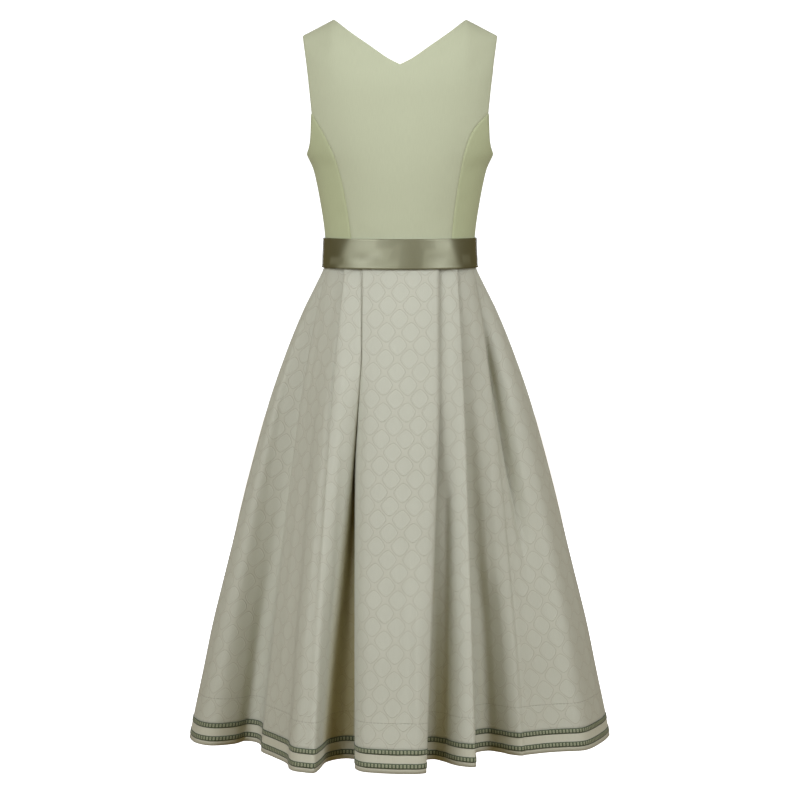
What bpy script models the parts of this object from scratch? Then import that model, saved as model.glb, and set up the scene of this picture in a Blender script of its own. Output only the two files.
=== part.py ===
"""Dirndl dress on no wearer: panelled bodice, ribbon belt, pleated skirt, plain hem band with two woven trims.

Metres, +Z up. The wearer faces +Y, so the back is towards -Y and the wearer's left is -X. Z = 0 is at the
shoulder seams, beside the neck. Each cloth piece is an open sheet, thickened by Solidify.
"""

import math
from collections import namedtuple

import bmesh
import bpy
from mathutils import Vector

# ---- driving sizes -------------------------------------------------------------------------------------------

BODICE_CLOTH = 0.0014
SKIRT_CLOTH = 0.0012
RIBBON = 0.0010
SEAM_INSET = 0.00035  # each panel stops this far short of its seam line
SHOULDER_INSET = 0.0009  # more at the shoulder seam, where the two sheets lean towards each other

WAIST_Z = -0.404
BELT_TOP_Z = -0.378
BELT_BOTTOM_Z = -0.430
HEM_Z = -1.270

SHOULDER_NECK_X = 0.115
SHOULDER_TIP_X = 0.1695
SHOULDER_TIP_Z = -0.0285
UNDERARM_Z = -0.2325
LAP = 0.012  # each front passes the centre line by this much
LAP_RISE = 0.0028  # the wearer's right front lies this far outside the left one

WAIST_HALF_WIDTH = 0.1308
WAIST_BACK = 0.0918
WAIST_FRONT = 0.1012

HEM_EDGE = 0.008  # plain cloth below the lower trim
TRIM_HEIGHT = 0.009
TRIM_SPACING = 0.023  # lower edge of one trim to lower edge of the other
BAND_SEAM_Z = HEM_Z + HEM_EDGE + TRIM_SPACING + TRIM_HEIGHT / 2
TRIM_OUT = 0.0017

BELT_OUT = 0.0040  # the ribbon's middle lies this far outside the waist at its upper edge
BELT_FRONT_OUT = 0.0018  # and this much further over the lapped front
BELT_LEVELS = ((BELT_BOTTOM_Z, 0.0019), (BELT_TOP_Z, 0.0))  # height, and more spread there
BELT_LAP_RISE = 0.0028

BUTTON_RADIUS = 0.0055
BUTTON_DEPTH = 0.0024
BUTTON_CLEAR = 0.0005
BUTTON_ZS = (-0.243, -0.273, -0.303, -0.333, -0.363)

# ---- the body inside the bodice: half width, and depth to the back and to the front, at each height ----------

Girth = namedtuple("Girth", "z half_width back front")
GIRTHS = (
    Girth(-0.404, 0.1304, 0.0915, 0.1010),
    Girth(-0.378, 0.1307, 0.0920, 0.1012),
    Girth(-0.351, 0.1334, 0.0950, 0.1100),
    Girth(-0.318, 0.1386, 0.0985, 0.1220),
    Girth(-0.285, 0.1447, 0.1020, 0.1340),
    Girth(-0.257, 0.1516, 0.1045, 0.1395),
    Girth(-0.2325, 0.1625, 0.1055, 0.1400),
    Girth(-0.200, 0.1700, 0.1060, 0.1370),
    Girth(-0.160, 0.1742, 0.1055, 0.1290),
    Girth(-0.110, 0.1758, 0.1040, 0.1160),
    Girth(-0.050, 0.1765, 0.1020, 0.1000),
    Girth(0.000, 0.1765, 0.1000, 0.0900),
)
BACK_SHOULDER_ROUND = 0.130  # height over which the back curves forward to the shoulder seam
FRONT_SHOULDER_ROUND = 0.140

# Outline curves, as (x, z) seen square on; the wearer's left and right back seams differ a little.
BACK_SEAM_LEFT = (
    (0.0822, -0.404), (0.0850, -0.373), (0.0920, -0.323), (0.1015, -0.275), (0.1135, -0.236), (0.1306, -0.200),
    (0.1530, -0.162),
)
BACK_SEAM_RIGHT = (
    (0.0890, -0.404), (0.0897, -0.373), (0.0945, -0.325), (0.1022, -0.275), (0.1124, -0.225), (0.1271, -0.190),
    (0.1530, -0.162),
)
BACK_ARMHOLE_TOP = ((0.1530, -0.162), (0.1555, -0.137), (0.1614, -0.085), (0.1695, -0.0285))
BACK_ARMHOLE_LOW = ((0.1530, -0.162), (0.1538, -0.180), (0.1550, -0.2045), (0.1575, -0.2200), (0.1625, -0.2325))
BACK_NECK = ((0.0, -0.080), (0.0095, -0.0755), (0.0223, -0.0685), (0.052, -0.0475), (0.087, -0.0225), (0.115, 0.0))
FRONT_SEAM = (
    (0.0660, -0.404), (0.0710, -0.360), (0.0830, -0.310), (0.0940, -0.265), (0.1050, -0.225), (0.1220, -0.185),
    (0.1455, -0.150),
)
FRONT_ARMHOLE_TOP = ((0.1455, -0.150), (0.1490, -0.115), (0.1600, -0.070), (0.1695, -0.0285))
FRONT_ARMHOLE_LOW = ((0.1455, -0.150), (0.1475, -0.190), (0.1545, -0.215), (0.1625, -0.2325))
FRONT_NECK = ((0.012, -0.222), (0.034, -0.206), (0.066, -0.170), (0.094, -0.115), (0.1105, -0.050), (0.115, 0.0))

# ---- the skirt: how far the flare has gone at each drop below the waist seam --------------------------------

Flare = namedtuple("Flare", "drop share")
FLARES = (
    Flare(0.000, 0.000),
    Flare(0.026, 0.010),
    Flare(0.060, 0.074),
    Flare(0.105, 0.164),
    Flare(0.172, 0.276),
    Flare(0.265, 0.409),
    Flare(0.402, 0.566),
    Flare(0.511, 0.675),
    Flare(0.595, 0.761),
    Flare(0.664, 0.830),
    Flare(0.747, 0.900),
    Flare(0.825, 0.968),
    Flare(0.866, 1.000),
)
OPENING_POWER = 1.15
SKIRT_DROPS = (0.0005, 0.026, 0.060, 0.105, 0.175, 0.275, 0.420, 0.610)

# Fold lines of the skirt cloth, in order from the centre of each half to its side, in millimetres.
# along and sunk: place at the waist, as distance round it from the centre and depth below the outer layer.
# side and deep: place at the hem, from the centre line and from the side seams' plane.
# A line keeps beside the line named in `beside` until the flare reaches `opens`, and is fully in its own place
# once the flare reaches `open_by`.
Line = namedtuple("Line", "name beside opens along sunk side deep open_by", defaults=(1.0,))
BACK_CENTRE = Line("back_centre", None, 0, 0, 0, 0, 277)
BACK_LEFT = (
    Line("panel_left", "back_centre", 0.30, 36, 0, 36, 271),
    Line("panel_left_turn", "back_centre", 0.28, 56, 0, 64, 260, 0.50),
    Line("fold1_edge", "back_centre", 0.28, 66, 0, 75, 240, 0.50),
    Line("fold1_under", "back_centre", 0.28, 65, 3.2, 75, 214, 0.50),
    Line("fold1_tuck", None, 0, 38, 3.4, 62, 194),
    Line("fold1_back", None, 0, 38, 6.8, 64, 182),
    Line("fold1_next", None, 0, 62, 6.6, 94, 166),
    Line("fold1_side", "back_centre", 0.28, 67.5, 3.7, 125, 190),
    Line("fold2_slope", "fold2_edge", 0.38, 82, 2.6, 137, 244),
    Line("fold2_edge", None, 0, 102, 0, 146, 271),
    Line("fold2_under", "fold2_edge", 0, 101, 3.4, 154, 270),
    Line("fold2_tuck", "fold2_edge", 0, 95, 7.4, 162, 266),
    Line("fold2_back", "fold2_edge", 0, 95, 10.8, 171, 262),
    Line("fold2_next", "fold2_edge", 0, 100, 8, 181, 254),
    Line("step_top", "fold3_edge", 0.1, 113, 4.6, 188, 238),
    Line("step_foot", "fold3_edge", 0.1, 124, 3, 193, 204),
    Line("fold3_face", "fold3_edge", 0.1, 139, 1.2, 217, 158),
    Line("fold3_edge", None, 0, 153, 0, 241, 116),
    Line("fold3_under", "fold3_edge", 0.12, 152, 3.2, 243, 98),
    Line("fold3_tuck", "fold3_edge", 0.12, 141, 4.4, 246, 64),
    Line("fold3_back", "fold3_edge", 0.12, 141, 7.8, 257, 42),
    Line("fold3_next", "fold3_edge", 0.12, 150, 6.6, 275, 34),
    Line("fold4_face", "fold4_edge", 0.1, 161, 4, 292, 56),
    Line("fold4_crest", "fold4_edge", 0.1, 171, 2, 333, 70),
    Line("fold4_turn", "fold4_edge", 0.1, 179, 0.6, 361, 49),
    Line("fold4_edge", None, 0, 185, 0, 376, -2),
    Line("fold4_under", "fold4_edge", 0.1, 184, 3.2, 374, -14),
    Line("fold4_tuck", "fold4_edge", 0.1, 173, 5, 362, -24),
    Line("fold4_back", "fold4_edge", 0.1, 173, 8.3, 350, -33),
    Line("seam_left", "fold4_edge", 0.1, 194, 7.4, 343, -48),
)
BACK_RIGHT = (
    Line("panel_right", "back_centre", 0.30, 36, 0, 34, 276),
    Line("fold5_edge", "back_centre", 0.40, 69, 0, 44, 268),
    Line("fold5_under", "back_centre", 0.40, 68, 3.2, 41, 255),
    Line("fold5_tuck", "back_centre", 0.36, 42, 3.4, 36, 212),
    Line("fold5_back", "back_centre", 0.36, 42, 6.8, 41, 180),
    Line("fold5_next", "back_centre", 0.36, 66, 6.6, 59, 172),
    Line("fold6_slope", "fold6_edge", 0.40, 74, 5.2, 80, 196),
    Line("fold6_face", "fold6_edge", 0.30, 90, 2.2, 101, 220),
    Line("fold6_edge", None, 0, 106, 0, 127, 229),
    Line("fold6_under", "fold6_edge", 0.12, 105, 3.2, 129, 208),
    Line("fold6_tuck", "fold6_edge", 0.12, 92, 5.2, 127, 158),
    Line("fold6_back", "fold6_edge", 0.12, 92, 8.5, 133, 122),
    Line("fold6_next", "fold6_edge", 0.12, 103, 6.6, 151, 110),
    Line("fold7_slope", "fold7_edge", 0.1, 118, 4.4, 174, 119),
    Line("fold7_face", "fold7_edge", 0.1, 138, 1.6, 193, 138),
    Line("fold7_edge", None, 0, 158, 0, 211, 146),
    Line("fold7_under", "fold7_edge", 0, 157.5, 3.6, 218, 140),
    Line("fold7_tuck", "fold7_edge", 0, 154, 9.6, 227, 136),
    Line("fold7_back", "fold7_edge", 0, 154, 14.4, 243, 128),
    Line("fold7_next", "fold7_edge", 0, 155.5, 12.4, 263, 120),
    Line("fold8_face", "fold8_edge", 0, 163, 6.6, 288, 114),
    Line("fold8_crest", "fold8_edge", 0.05, 172, 2.8, 322, 106),
    Line("fold8_turn", "fold8_edge", 0.1, 180, 0.8, 350, 62),
    Line("fold8_edge", None, 0, 186, 0, 376, -18),
    Line("fold8_under", "fold8_edge", 0.1, 185, 3.2, 373, -30),
    Line("fold8_tuck", "fold8_edge", 0.1, 174, 5.1, 361, -39),
    Line("fold8_back", "fold8_edge", 0.1, 174, 8.4, 351, -47),
    Line("seam_right", "fold8_edge", 0.1, 194, 7.4, 343, -57),
)
FRONT_CENTRE = Line("front_centre", None, 0, 0, 0, 0, 280)
# One half of the front, x towards the side. Its two halves differ by FRONT_UNEVEN.
FRONT_HALF = (
    Line("panel", "front_centre", 0.30, 36, 0, 38, 277),
    Line("fold_a_edge", "front_centre", 0.42, 66, 0, 68, 258),
    Line("fold_a_under", "front_centre", 0.42, 65, 3.2, 69, 243),
    Line("fold_a_tuck", "front_centre", 0.42, 42, 3.4, 74, 205),
    Line("fold_a_back", "front_centre", 0.42, 42, 6.8, 90, 184),
    Line("fold_a_next", "front_centre", 0.42, 63, 6.6, 108, 190),
    Line("fold_b_slope", "fold_b_edge", 0.3, 71, 4.8, 122, 222),
    Line("fold_b_edge", None, 0, 99, 0, 143, 256),
    Line("fold_b_under", "fold_b_edge", 0.05, 98, 3.2, 156, 250),
    Line("fold_b_tuck", "fold_b_edge", 0.05, 86, 5.5, 168, 224),
    Line("fold_b_back", "fold_b_edge", 0.05, 86, 8.8, 182, 196),
    Line("fold_b_next", "fold_b_edge", 0.05, 96, 6.6, 202, 182),
    Line("fold_c_slope", "fold_c_edge", 0.1, 108, 4.4, 226, 188),
    Line("fold_c_edge", None, 0, 132, 0, 254, 196),
    Line("fold_c_under", "fold_c_edge", 0.1, 131, 3.2, 264, 182),
    Line("fold_c_tuck", "fold_c_edge", 0.1, 120, 5.5, 269, 152),
    Line("fold_c_back", "fold_c_edge", 0.1, 120, 8.8, 281, 126),
    Line("fold_c_next", "fold_c_edge", 0.1, 129, 6.6, 301, 116),
    Line("fold_d_face", "fold_d_edge", 0.1, 143, 3.4, 326, 118),
    Line("fold_d_edge", None, 0, 160, 0, 352, 98),
    Line("fold_d_under", "fold_d_edge", 0.1, 159, 3.2, 355, 86),
    Line("fold_d_tuck", "fold_d_edge", 0.1, 149, 5.5, 350, 74),
    Line("fold_d_back", "fold_d_edge", 0.1, 149, 8.8, 342, 66),
)
FRONT_UNEVEN = 5  # mm

# ---- smooth curves -------------------------------------------------------------------------------------------


def hermite(xs, ys, x):
    """The smooth curve through the points (xs, ys), at x."""
    last = len(xs) - 1
    x = min(max(x, xs[0]), xs[-1])
    i = max(k for k in range(last) if xs[k] <= x)

    def slope(k):
        low, high = max(k - 1, 0), min(k + 1, last)
        return (ys[high] - ys[low]) / (xs[high] - xs[low])

    width = xs[i + 1] - xs[i]
    t = (x - xs[i]) / width
    start = (1 + 2 * t) * (1 - t) ** 2 * ys[i] + t**2 * (3 - 2 * t) * ys[i + 1]
    return start + width * (t * (1 - t) ** 2 * slope(i) - t**2 * (1 - t) * slope(i + 1))


def along_curve(points, shares):
    """Points at these shares of the length of the smooth curve through the given points."""
    lengths = [0.0]
    for a, b in zip(points, points[1:]):
        lengths.append(lengths[-1] + math.dist(a, b))
    columns = list(zip(*points))
    return [tuple(hermite(lengths, column, s * lengths[-1]) for column in columns) for s in shares]


def even(count):
    return [i / count for i in range(count + 1)]


# ---- the bodice ----------------------------------------------------------------------------------------------

GIRTH_ZS = [g.z for g in GIRTHS]


def girth(z, column):
    return hermite(GIRTH_ZS, [getattr(g, column) for g in GIRTHS], z)


def turn_of(point):
    """An outline point (x, z) as (angle round the body from the centre line, z)."""
    x, z = point
    return math.asin(max(-1.0, min(1.0, x / girth(z, "half_width")))), z


def on_body(turn, z, front):
    """The point of the bodice's form at this angle from the centre line and this height."""
    x = girth(z, "half_width") * math.sin(turn)
    fall = (SHOULDER_TIP_Z / (SHOULDER_TIP_X - SHOULDER_NECK_X)) * max(0.0, abs(x) - SHOULDER_NECK_X)
    zone = FRONT_SHOULDER_ROUND if front else BACK_SHOULDER_ROUND
    short = 1 - min(1.0, max(0.0, fall - z) / zone)
    depth = girth(z, "front" if front else "back") * math.sqrt(1 - short**2) * math.cos(turn)
    return Vector((x, depth if front else -depth, z))


def patch(bottom, top, inner, outer):
    """A grid of (angle, z) filled in between four outline curves that meet at their ends."""
    wide, high = len(bottom) - 1, len(inner) - 1
    rows = []
    for j in range(high + 1):
        v = j / high
        row = []
        for i in range(wide + 1):
            u = i / wide
            row.append(
                tuple(
                    (1 - v) * bottom[i][k]
                    + v * top[i][k]
                    + (1 - u) * inner[j][k]
                    + u * outer[j][k]
                    - (1 - u) * ((1 - v) * bottom[0][k] + v * top[0][k])
                    - u * ((1 - v) * bottom[-1][k] + v * top[-1][k])
                    for k in (0, 1)
                )
            )
        rows.append(row)
    return rows


def mirrored(points):
    return [(-x, z) for x, z in points]


def drawn_in(grid):
    """The grid with its edges moved in, so that it stops short of its seams."""
    high, wide = len(grid) - 1, len(grid[0]) - 1
    moved = [list(row) for row in grid]
    for j, row in enumerate(grid):
        for i, point in enumerate(row):
            inside = grid[min(max(j, 1), high - 1)][min(max(i, 1), wide - 1)]
            if inside is not point:
                step = Vector((0, 0, 0))
                if i in (0, wide):
                    step += SEAM_INSET * (row[1 if i == 0 else wide - 1] - point).normalized()
                if j in (0, high):
                    inset = SEAM_INSET if j == 0 else SHOULDER_INSET
                    step += inset * (grid[1 if j == 0 else high - 1][i] - point).normalized()
                moved[j][i] = point + step
    return moved


PRINCESS_ROWS = 6  # rows of a centre panel below the armhole
ARMHOLE_SHARES = (0.30, 0.58, 0.80, 0.93, 1.0)  # closer together near the shoulder seam


def centre_edge(seam, armhole):
    """The outer edge of a centre panel: up its princess seam, then up the armhole to the shoulder."""
    return along_curve(seam, even(PRINCESS_ROWS)) + along_curve(armhole, ARMHOLE_SHARES)


def inner_rows(low, high):
    """Heights of the rows on a centre panel's upright inner edge or centre line, top to bottom like its outer edge."""
    count = PRINCESS_ROWS + len(ARMHOLE_SHARES)
    return [low + (high - low) * j / count for j in range(count + 1)]


def waist_line(start, end, count):
    return [(start + (end - start) * s, WAIST_Z) for s in even(count)]


def shoulder_line(count):
    neck = (SHOULDER_NECK_X, 0.0)
    tip = (SHOULDER_TIP_X, SHOULDER_TIP_Z)
    return [tuple(a + (b - a) * s for a, b in zip(neck, tip)) for s in even(count)]


def back_centre_grid():
    half_top = along_curve(BACK_NECK, even(5)) + shoulder_line(2)[1:]
    top = mirrored(half_top[:0:-1]) + half_top
    count = len(top) - 1
    bottom = waist_line(-BACK_SEAM_LEFT[0][0], BACK_SEAM_RIGHT[0][0], count)
    left = mirrored(centre_edge(BACK_SEAM_LEFT, BACK_ARMHOLE_TOP))
    right = centre_edge(BACK_SEAM_RIGHT, BACK_ARMHOLE_TOP)
    turns = [[turn_of(p) for p in edge] for edge in (bottom, top, left, right)]
    return [[on_body(t, z, False) for t, z in row] for row in patch(*turns)]


def side_grid(seam, armhole, front, side):
    """A side panel, from its princess seam to the side seam. side is -1 for the wearer's left, 1 for the right."""
    inner = [turn_of(p) for p in along_curve(seam, even(PRINCESS_ROWS))]
    top = [turn_of(p) for p in along_curve(armhole, even(4))]
    top[-1] = (math.pi / 2, UNDERARM_Z)
    outer = [(math.pi / 2, WAIST_Z + (UNDERARM_Z - WAIST_Z) * s) for s in even(PRINCESS_ROWS)]
    start = inner[0][0]
    bottom = [(start + (math.pi / 2 - start) * s, WAIST_Z) for s in even(4)]
    return [[on_body(side * t, z, front) for t, z in row] for row in patch(bottom, top, inner, outer)]


def front_centre_grid(side):
    """A front centre panel. The right one (side = 1) laps outside the left one."""
    inner_top = (-LAP, FRONT_NECK[0][1])
    neck = [inner_top, *FRONT_NECK]
    top = along_curve(neck, even(8)) + shoulder_line(2)[1:]
    count = len(top) - 1
    bottom = waist_line(-LAP, FRONT_SEAM[0][0], count)
    outer = centre_edge(FRONT_SEAM, FRONT_ARMHOLE_TOP)
    inner = [(-LAP, z) for z in inner_rows(WAIST_Z, inner_top[1])]
    turns = [[turn_of(p) for p in edge] for edge in (bottom, top, inner, outer)]
    grid = [[on_body(side * t, z, True) for t, z in row] for row in patch(*turns)]
    if side > 0:
        for row in grid:
            for point in row:
                near = min(1.0, max(0.0, (0.045 - point.x) / 0.025))
                point.y += LAP_RISE * near * near * (3 - 2 * near)
    return grid


# ---- the skirt -----------------------------------------------------------------------------------------------


def waist_at(turn):
    depth = WAIST_BACK if math.cos(turn) > 0 else WAIST_FRONT
    return Vector((WAIST_HALF_WIDTH * math.sin(turn), -depth * math.cos(turn)))


WAIST_LENGTHS = [0.0]  # distance round the waist from the back centre to each whole degree
for degree in range(180):
    chord = (waist_at(math.radians(degree + 1)) - waist_at(math.radians(degree))).length
    WAIST_LENGTHS.append(WAIST_LENGTHS[-1] + chord)


def waist_place(line, half):
    """Where a fold line starts in the plan of the waist, on the +X side."""
    along = line.along / 1000
    if half == "front":
        along = WAIST_LENGTHS[-1] - along
    degree = max(k for k in range(180) if WAIST_LENGTHS[k] <= along)
    part = (along - WAIST_LENGTHS[degree]) / (WAIST_LENGTHS[degree + 1] - WAIST_LENGTHS[degree])
    point = waist_at(math.radians(degree + part))
    depth = WAIST_BACK if point.y < 0 else WAIST_FRONT
    outward = Vector((point.x / WAIST_HALF_WIDTH**2, point.y / depth**2)).normalized()
    return point - outward * line.sunk / 1000


def hem_place(line, half, side):
    """Where a fold line ends in the plan of the hem, on the +X side."""
    uneven = FRONT_UNEVEN * side * math.sin(line.side / 23) if half == "front" and line.beside else 0
    deep = line.deep + uneven
    return Vector((line.side, deep if half == "front" else -deep)) / 1000


Ray = namedtuple("Ray", "start base_end opens open_by end")


def rays(lines, half, side):
    """Each fold line as its start, the end that it would have beside its neighbour, and its own end."""
    starts = {line.name: waist_place(line, half) for line in lines}
    ends = {line.name: hem_place(line, half, side) for line in lines}
    found = []
    for line in lines:
        start, end = starts[line.name], ends[line.name]
        beside = line.beside or line.name
        base_end = start + ends[beside] - starts[beside]
        across = [Vector((side * v.x, v.y)) for v in (start, base_end, end)]
        found.append(Ray(across[0], across[1], line.opens, line.open_by, across[2]))
    return found


def at_share(ray, share):
    """A fold line's place in plan where the flare has gone this far."""
    opened = min(1.0, max(0.0, (share - ray.opens) / (ray.open_by - ray.opens))) ** OPENING_POWER
    return ray.start + share * (ray.base_end - ray.start) + opened * (ray.end - ray.base_end)


BACK_RAYS_LEFT = rays((BACK_CENTRE, *BACK_LEFT), "back", -1)
BACK_RAYS_RIGHT = rays((BACK_CENTRE, *BACK_RIGHT), "back", 1)
FRONT_RAYS_LEFT = rays((FRONT_CENTRE, *FRONT_HALF), "front", -1)
FRONT_RAYS_RIGHT = rays((FRONT_CENTRE, *FRONT_HALF), "front", 1)
# Both panels run clockwise seen from above, and each ends on the side seams.
BACK_RAYS = BACK_RAYS_RIGHT[:0:-1] + BACK_RAYS_LEFT
FRONT_RAYS = BACK_RAYS_LEFT[-1:] + FRONT_RAYS_LEFT[:0:-1] + FRONT_RAYS_RIGHT + BACK_RAYS_RIGHT[-1:]


def flare_share(z):
    return hermite([f.drop for f in FLARES], [f.share for f in FLARES], WAIST_Z - z)


def skirt_row(all_rays, z, out=0.0):
    """One level of the cloth through these fold lines, moved out square to itself in plan."""
    plan = [at_share(ray, flare_share(z)) for ray in all_rays]
    return [Vector((p.x, p.y, z)) for p in (moved_out(plan, out) if out else plan)]


def moved_out(plan, out):
    """A closed plan polygon, clockwise from above, moved out by this much."""
    count = len(plan)
    found = []
    for i, point in enumerate(plan):
        before = (point - plan[i - 1]).normalized()
        after = (plan[(i + 1) % count] - point).normalized()
        normals = [Vector((-d.y, d.x)) for d in (before, after)]
        middle = (normals[0] + normals[1]).normalized()
        found.append(point + middle * out / max(0.45, middle.dot(normals[0])))
    return found


def skirt_grid(all_rays):
    """A skirt panel's points from its upper edge down to the hem band's seam, short of its side seams."""
    zs = [WAIST_Z - drop for drop in SKIRT_DROPS] + [BAND_SEAM_Z + SEAM_INSET]
    grid = [skirt_row(all_rays, z) for z in zs]
    for row in grid:
        for end, inside in ((0, 1), (-1, -2)):
            row[end] = row[end] + SEAM_INSET * (row[inside] - row[end]).normalized()
    return grid


RING_RAYS = BACK_RAYS[:-1] + FRONT_RAYS[:-1]


def ring_grid(zs, out=0.0):
    """A closed ring that follows every fold of the skirt, at these heights."""
    return [skirt_row(RING_RAYS, z, out) for z in zs]


# ---- the belt ------------------------------------------------------------------------------------------------


def belt_grid():
    """The ribbon, once round and past itself at the front, where its upper end spirals outside its lower one."""
    start, end = math.radians(180 - 14), math.radians(180 + 360 + 10)
    count = 60
    columns = []
    for i in range(count + 1):
        turn = start + (end - start) * i / count
        lift = min(1.0, max(0.0, (turn - (end - math.radians(70))) / math.radians(36)))
        out = BELT_OUT + BELT_LAP_RISE * lift * lift * (3 - 2 * lift)
        out += BELT_FRONT_OUT * max(0.0, -math.cos(turn)) ** 2
        columns.append((turn, out))
    grid = []
    for z, spread in BELT_LEVELS:
        row = []
        for turn, out in columns:
            depth = WAIST_BACK if math.cos(turn) > 0 else WAIST_FRONT
            x = (WAIST_HALF_WIDTH + spread + out) * math.sin(turn)
            y = -(depth + spread + out) * math.cos(turn)
            row.append(Vector((x, y, z)))
        grid.append(row)
    return grid


# ---- from grids to objects -----------------------------------------------------------------------------------

parts = bpy.data.collections.new("dirndl_dress")


def finish_material(name, colour, roughness):
    material = bpy.data.materials.new(name)
    material.use_nodes = True
    shader = material.node_tree.nodes["Principled BSDF"]
    shader.inputs["Base Color"].default_value = (*colour, 1)
    shader.inputs["Roughness"].default_value = roughness
    shader.inputs["Metallic"].default_value = 0
    return material


def sheet_object(name, grid, thickness, material, closed=False, folded=False):
    """A cloth piece: the grid as a surface that faces out, then its thickness."""
    shape = bmesh.new()
    rows = [[shape.verts.new(point) for point in row] for row in grid]
    wide = len(grid[0])
    for low, high in zip(rows, rows[1:]):
        for i in range(wide if closed else wide - 1):
            after = (i + 1) % wide
            shape.faces.new((low[i], low[after], high[after], high[i]))
    mesh = bpy.data.meshes.new(name)
    shape.to_mesh(mesh)
    shape.free()
    mesh.shade_smooth()
    mesh.set_sharp_from_angle(angle=math.radians(50))
    piece = bpy.data.objects.new(name, mesh)
    parts.objects.link(piece)
    piece.data.materials.append(material)
    solid = piece.modifiers.new("cloth", "SOLIDIFY")
    solid.thickness = thickness
    solid.offset = 0
    solid.use_even_offset = folded
    return piece


def build_bodice(material):
    sheets = {
        "bodice_back_centre": back_centre_grid(),
        "bodice_back_side_left": side_grid(BACK_SEAM_LEFT, BACK_ARMHOLE_LOW, False, -1),
        "bodice_back_side_right": side_grid(BACK_SEAM_RIGHT, BACK_ARMHOLE_LOW, False, 1),
        "bodice_front_side_left": side_grid(FRONT_SEAM, FRONT_ARMHOLE_LOW, True, -1),
        "bodice_front_side_right": side_grid(FRONT_SEAM, FRONT_ARMHOLE_LOW, True, 1),
        "bodice_front_centre_left": front_centre_grid(-1),
        "bodice_front_centre_right": front_centre_grid(1),
    }
    for name, grid in sheets.items():
        sheet_object(name, drawn_in(grid), BODICE_CLOTH, material)


def front_surface_y(z):
    """The bodice front's own surface on the centre line, on the outer lap."""
    return on_body(0.0, z, True).y + LAP_RISE


def build_buttons(material):
    for number, z in enumerate(BUTTON_ZS, start=1):
        reach = BUTTON_RADIUS
        lean = Vector((0, front_surface_y(z + reach) - front_surface_y(z - reach), 2 * reach)).normalized()
        outward = Vector((0, lean.z, -lean.y))
        clear = BODICE_CLOTH / 2 + BUTTON_CLEAR + BUTTON_DEPTH / 2
        centre = Vector((0, front_surface_y(z), z)) + outward * clear
        bpy.ops.mesh.primitive_cylinder_add(vertices=12, radius=BUTTON_RADIUS, depth=BUTTON_DEPTH, location=centre)
        button = bpy.context.object
        button.name = f"button_{number}"
        button.rotation_euler = outward.to_track_quat("Z", "Y").to_euler()
        rim = button.modifiers.new("rim", "BEVEL")
        rim.width = 0.0006
        rim.segments = 1
        button.data.materials.append(material)
        for holder in button.users_collection:
            holder.objects.unlink(button)
        parts.objects.link(button)


def build_skirt(cloth, plain, trim):
    sheet_object("skirt_back", skirt_grid(BACK_RAYS), SKIRT_CLOTH, cloth, folded=True)
    sheet_object("skirt_front", skirt_grid(FRONT_RAYS), SKIRT_CLOTH, cloth, folded=True)
    band = ring_grid((BAND_SEAM_Z - SEAM_INSET, HEM_Z))
    sheet_object("hem_band", band, SKIRT_CLOTH, plain, closed=True, folded=True)
    low = HEM_Z + HEM_EDGE
    for name, foot in (("hem_trim_lower", low), ("hem_trim_upper", low + TRIM_SPACING)):
        strip = ring_grid((foot + TRIM_HEIGHT, foot), TRIM_OUT)
        sheet_object(name, strip, RIBBON, trim, closed=True, folded=True)


def main():
    for old in list(bpy.data.objects):
        bpy.data.objects.remove(old, do_unlink=True)
    bpy.context.scene.collection.children.link(parts)
    bodice_cloth = finish_material("sage_bodice_cloth", (0.50, 0.54, 0.38), 0.8)
    skirt_cloth = finish_material("greige_skirt_cloth", (0.50, 0.49, 0.39), 0.75)
    plain_cloth = finish_material("plain_hem_cloth", (0.55, 0.53, 0.43), 0.8)
    satin = finish_material("olive_satin", (0.26, 0.26, 0.13), 0.25)
    woven = finish_material("woven_trim", (0.11, 0.16, 0.08), 0.7)
    button_finish = finish_material("olive_button", (0.17, 0.18, 0.09), 0.35)
    build_bodice(bodice_cloth)
    build_buttons(button_finish)
    sheet_object("belt", belt_grid(), RIBBON, satin)
    build_skirt(skirt_cloth, plain_cloth, woven)


main()
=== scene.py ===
"""Looks of the dirndl dress: each cloth piece as a thin shell on its solid's form, with folds and finish.

Metres, +Z up. The wearer faces +Y, so the back is towards -Y and the wearer's left is -X. Z = 0 is at the
shoulder seams, beside the neck.
"""

import math
from collections import namedtuple

import bmesh
import bpy
import numpy as np
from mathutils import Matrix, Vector


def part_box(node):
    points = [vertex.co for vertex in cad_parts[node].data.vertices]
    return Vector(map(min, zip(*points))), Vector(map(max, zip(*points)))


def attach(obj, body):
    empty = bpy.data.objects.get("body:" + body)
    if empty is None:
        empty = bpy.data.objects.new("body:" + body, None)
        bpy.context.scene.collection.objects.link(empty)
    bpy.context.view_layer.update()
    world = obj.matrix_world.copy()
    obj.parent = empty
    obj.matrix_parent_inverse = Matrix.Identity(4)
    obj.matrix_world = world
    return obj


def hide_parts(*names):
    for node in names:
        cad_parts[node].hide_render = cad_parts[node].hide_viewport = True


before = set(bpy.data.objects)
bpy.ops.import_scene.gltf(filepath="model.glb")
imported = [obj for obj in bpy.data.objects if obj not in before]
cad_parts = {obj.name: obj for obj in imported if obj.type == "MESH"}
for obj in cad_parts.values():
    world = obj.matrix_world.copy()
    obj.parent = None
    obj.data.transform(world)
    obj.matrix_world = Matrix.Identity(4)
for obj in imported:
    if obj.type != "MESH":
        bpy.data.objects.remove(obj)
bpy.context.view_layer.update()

# ---- driving sizes, the same as the frame's ----

WAIST_Z = -0.404
BELT_TOP_Z = -0.378
BELT_BOTTOM_Z = -0.430
HEM_Z = -1.270

SHOULDER_NECK_X = 0.115
SHOULDER_TIP_X = 0.1695
SHOULDER_TIP_Z = -0.0285
UNDERARM_Z = -0.2325
LAP = 0.012
LAP_RISE = 0.0028

WAIST_HALF_WIDTH = 0.1308
WAIST_BACK = 0.0918
WAIST_FRONT = 0.1012

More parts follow.
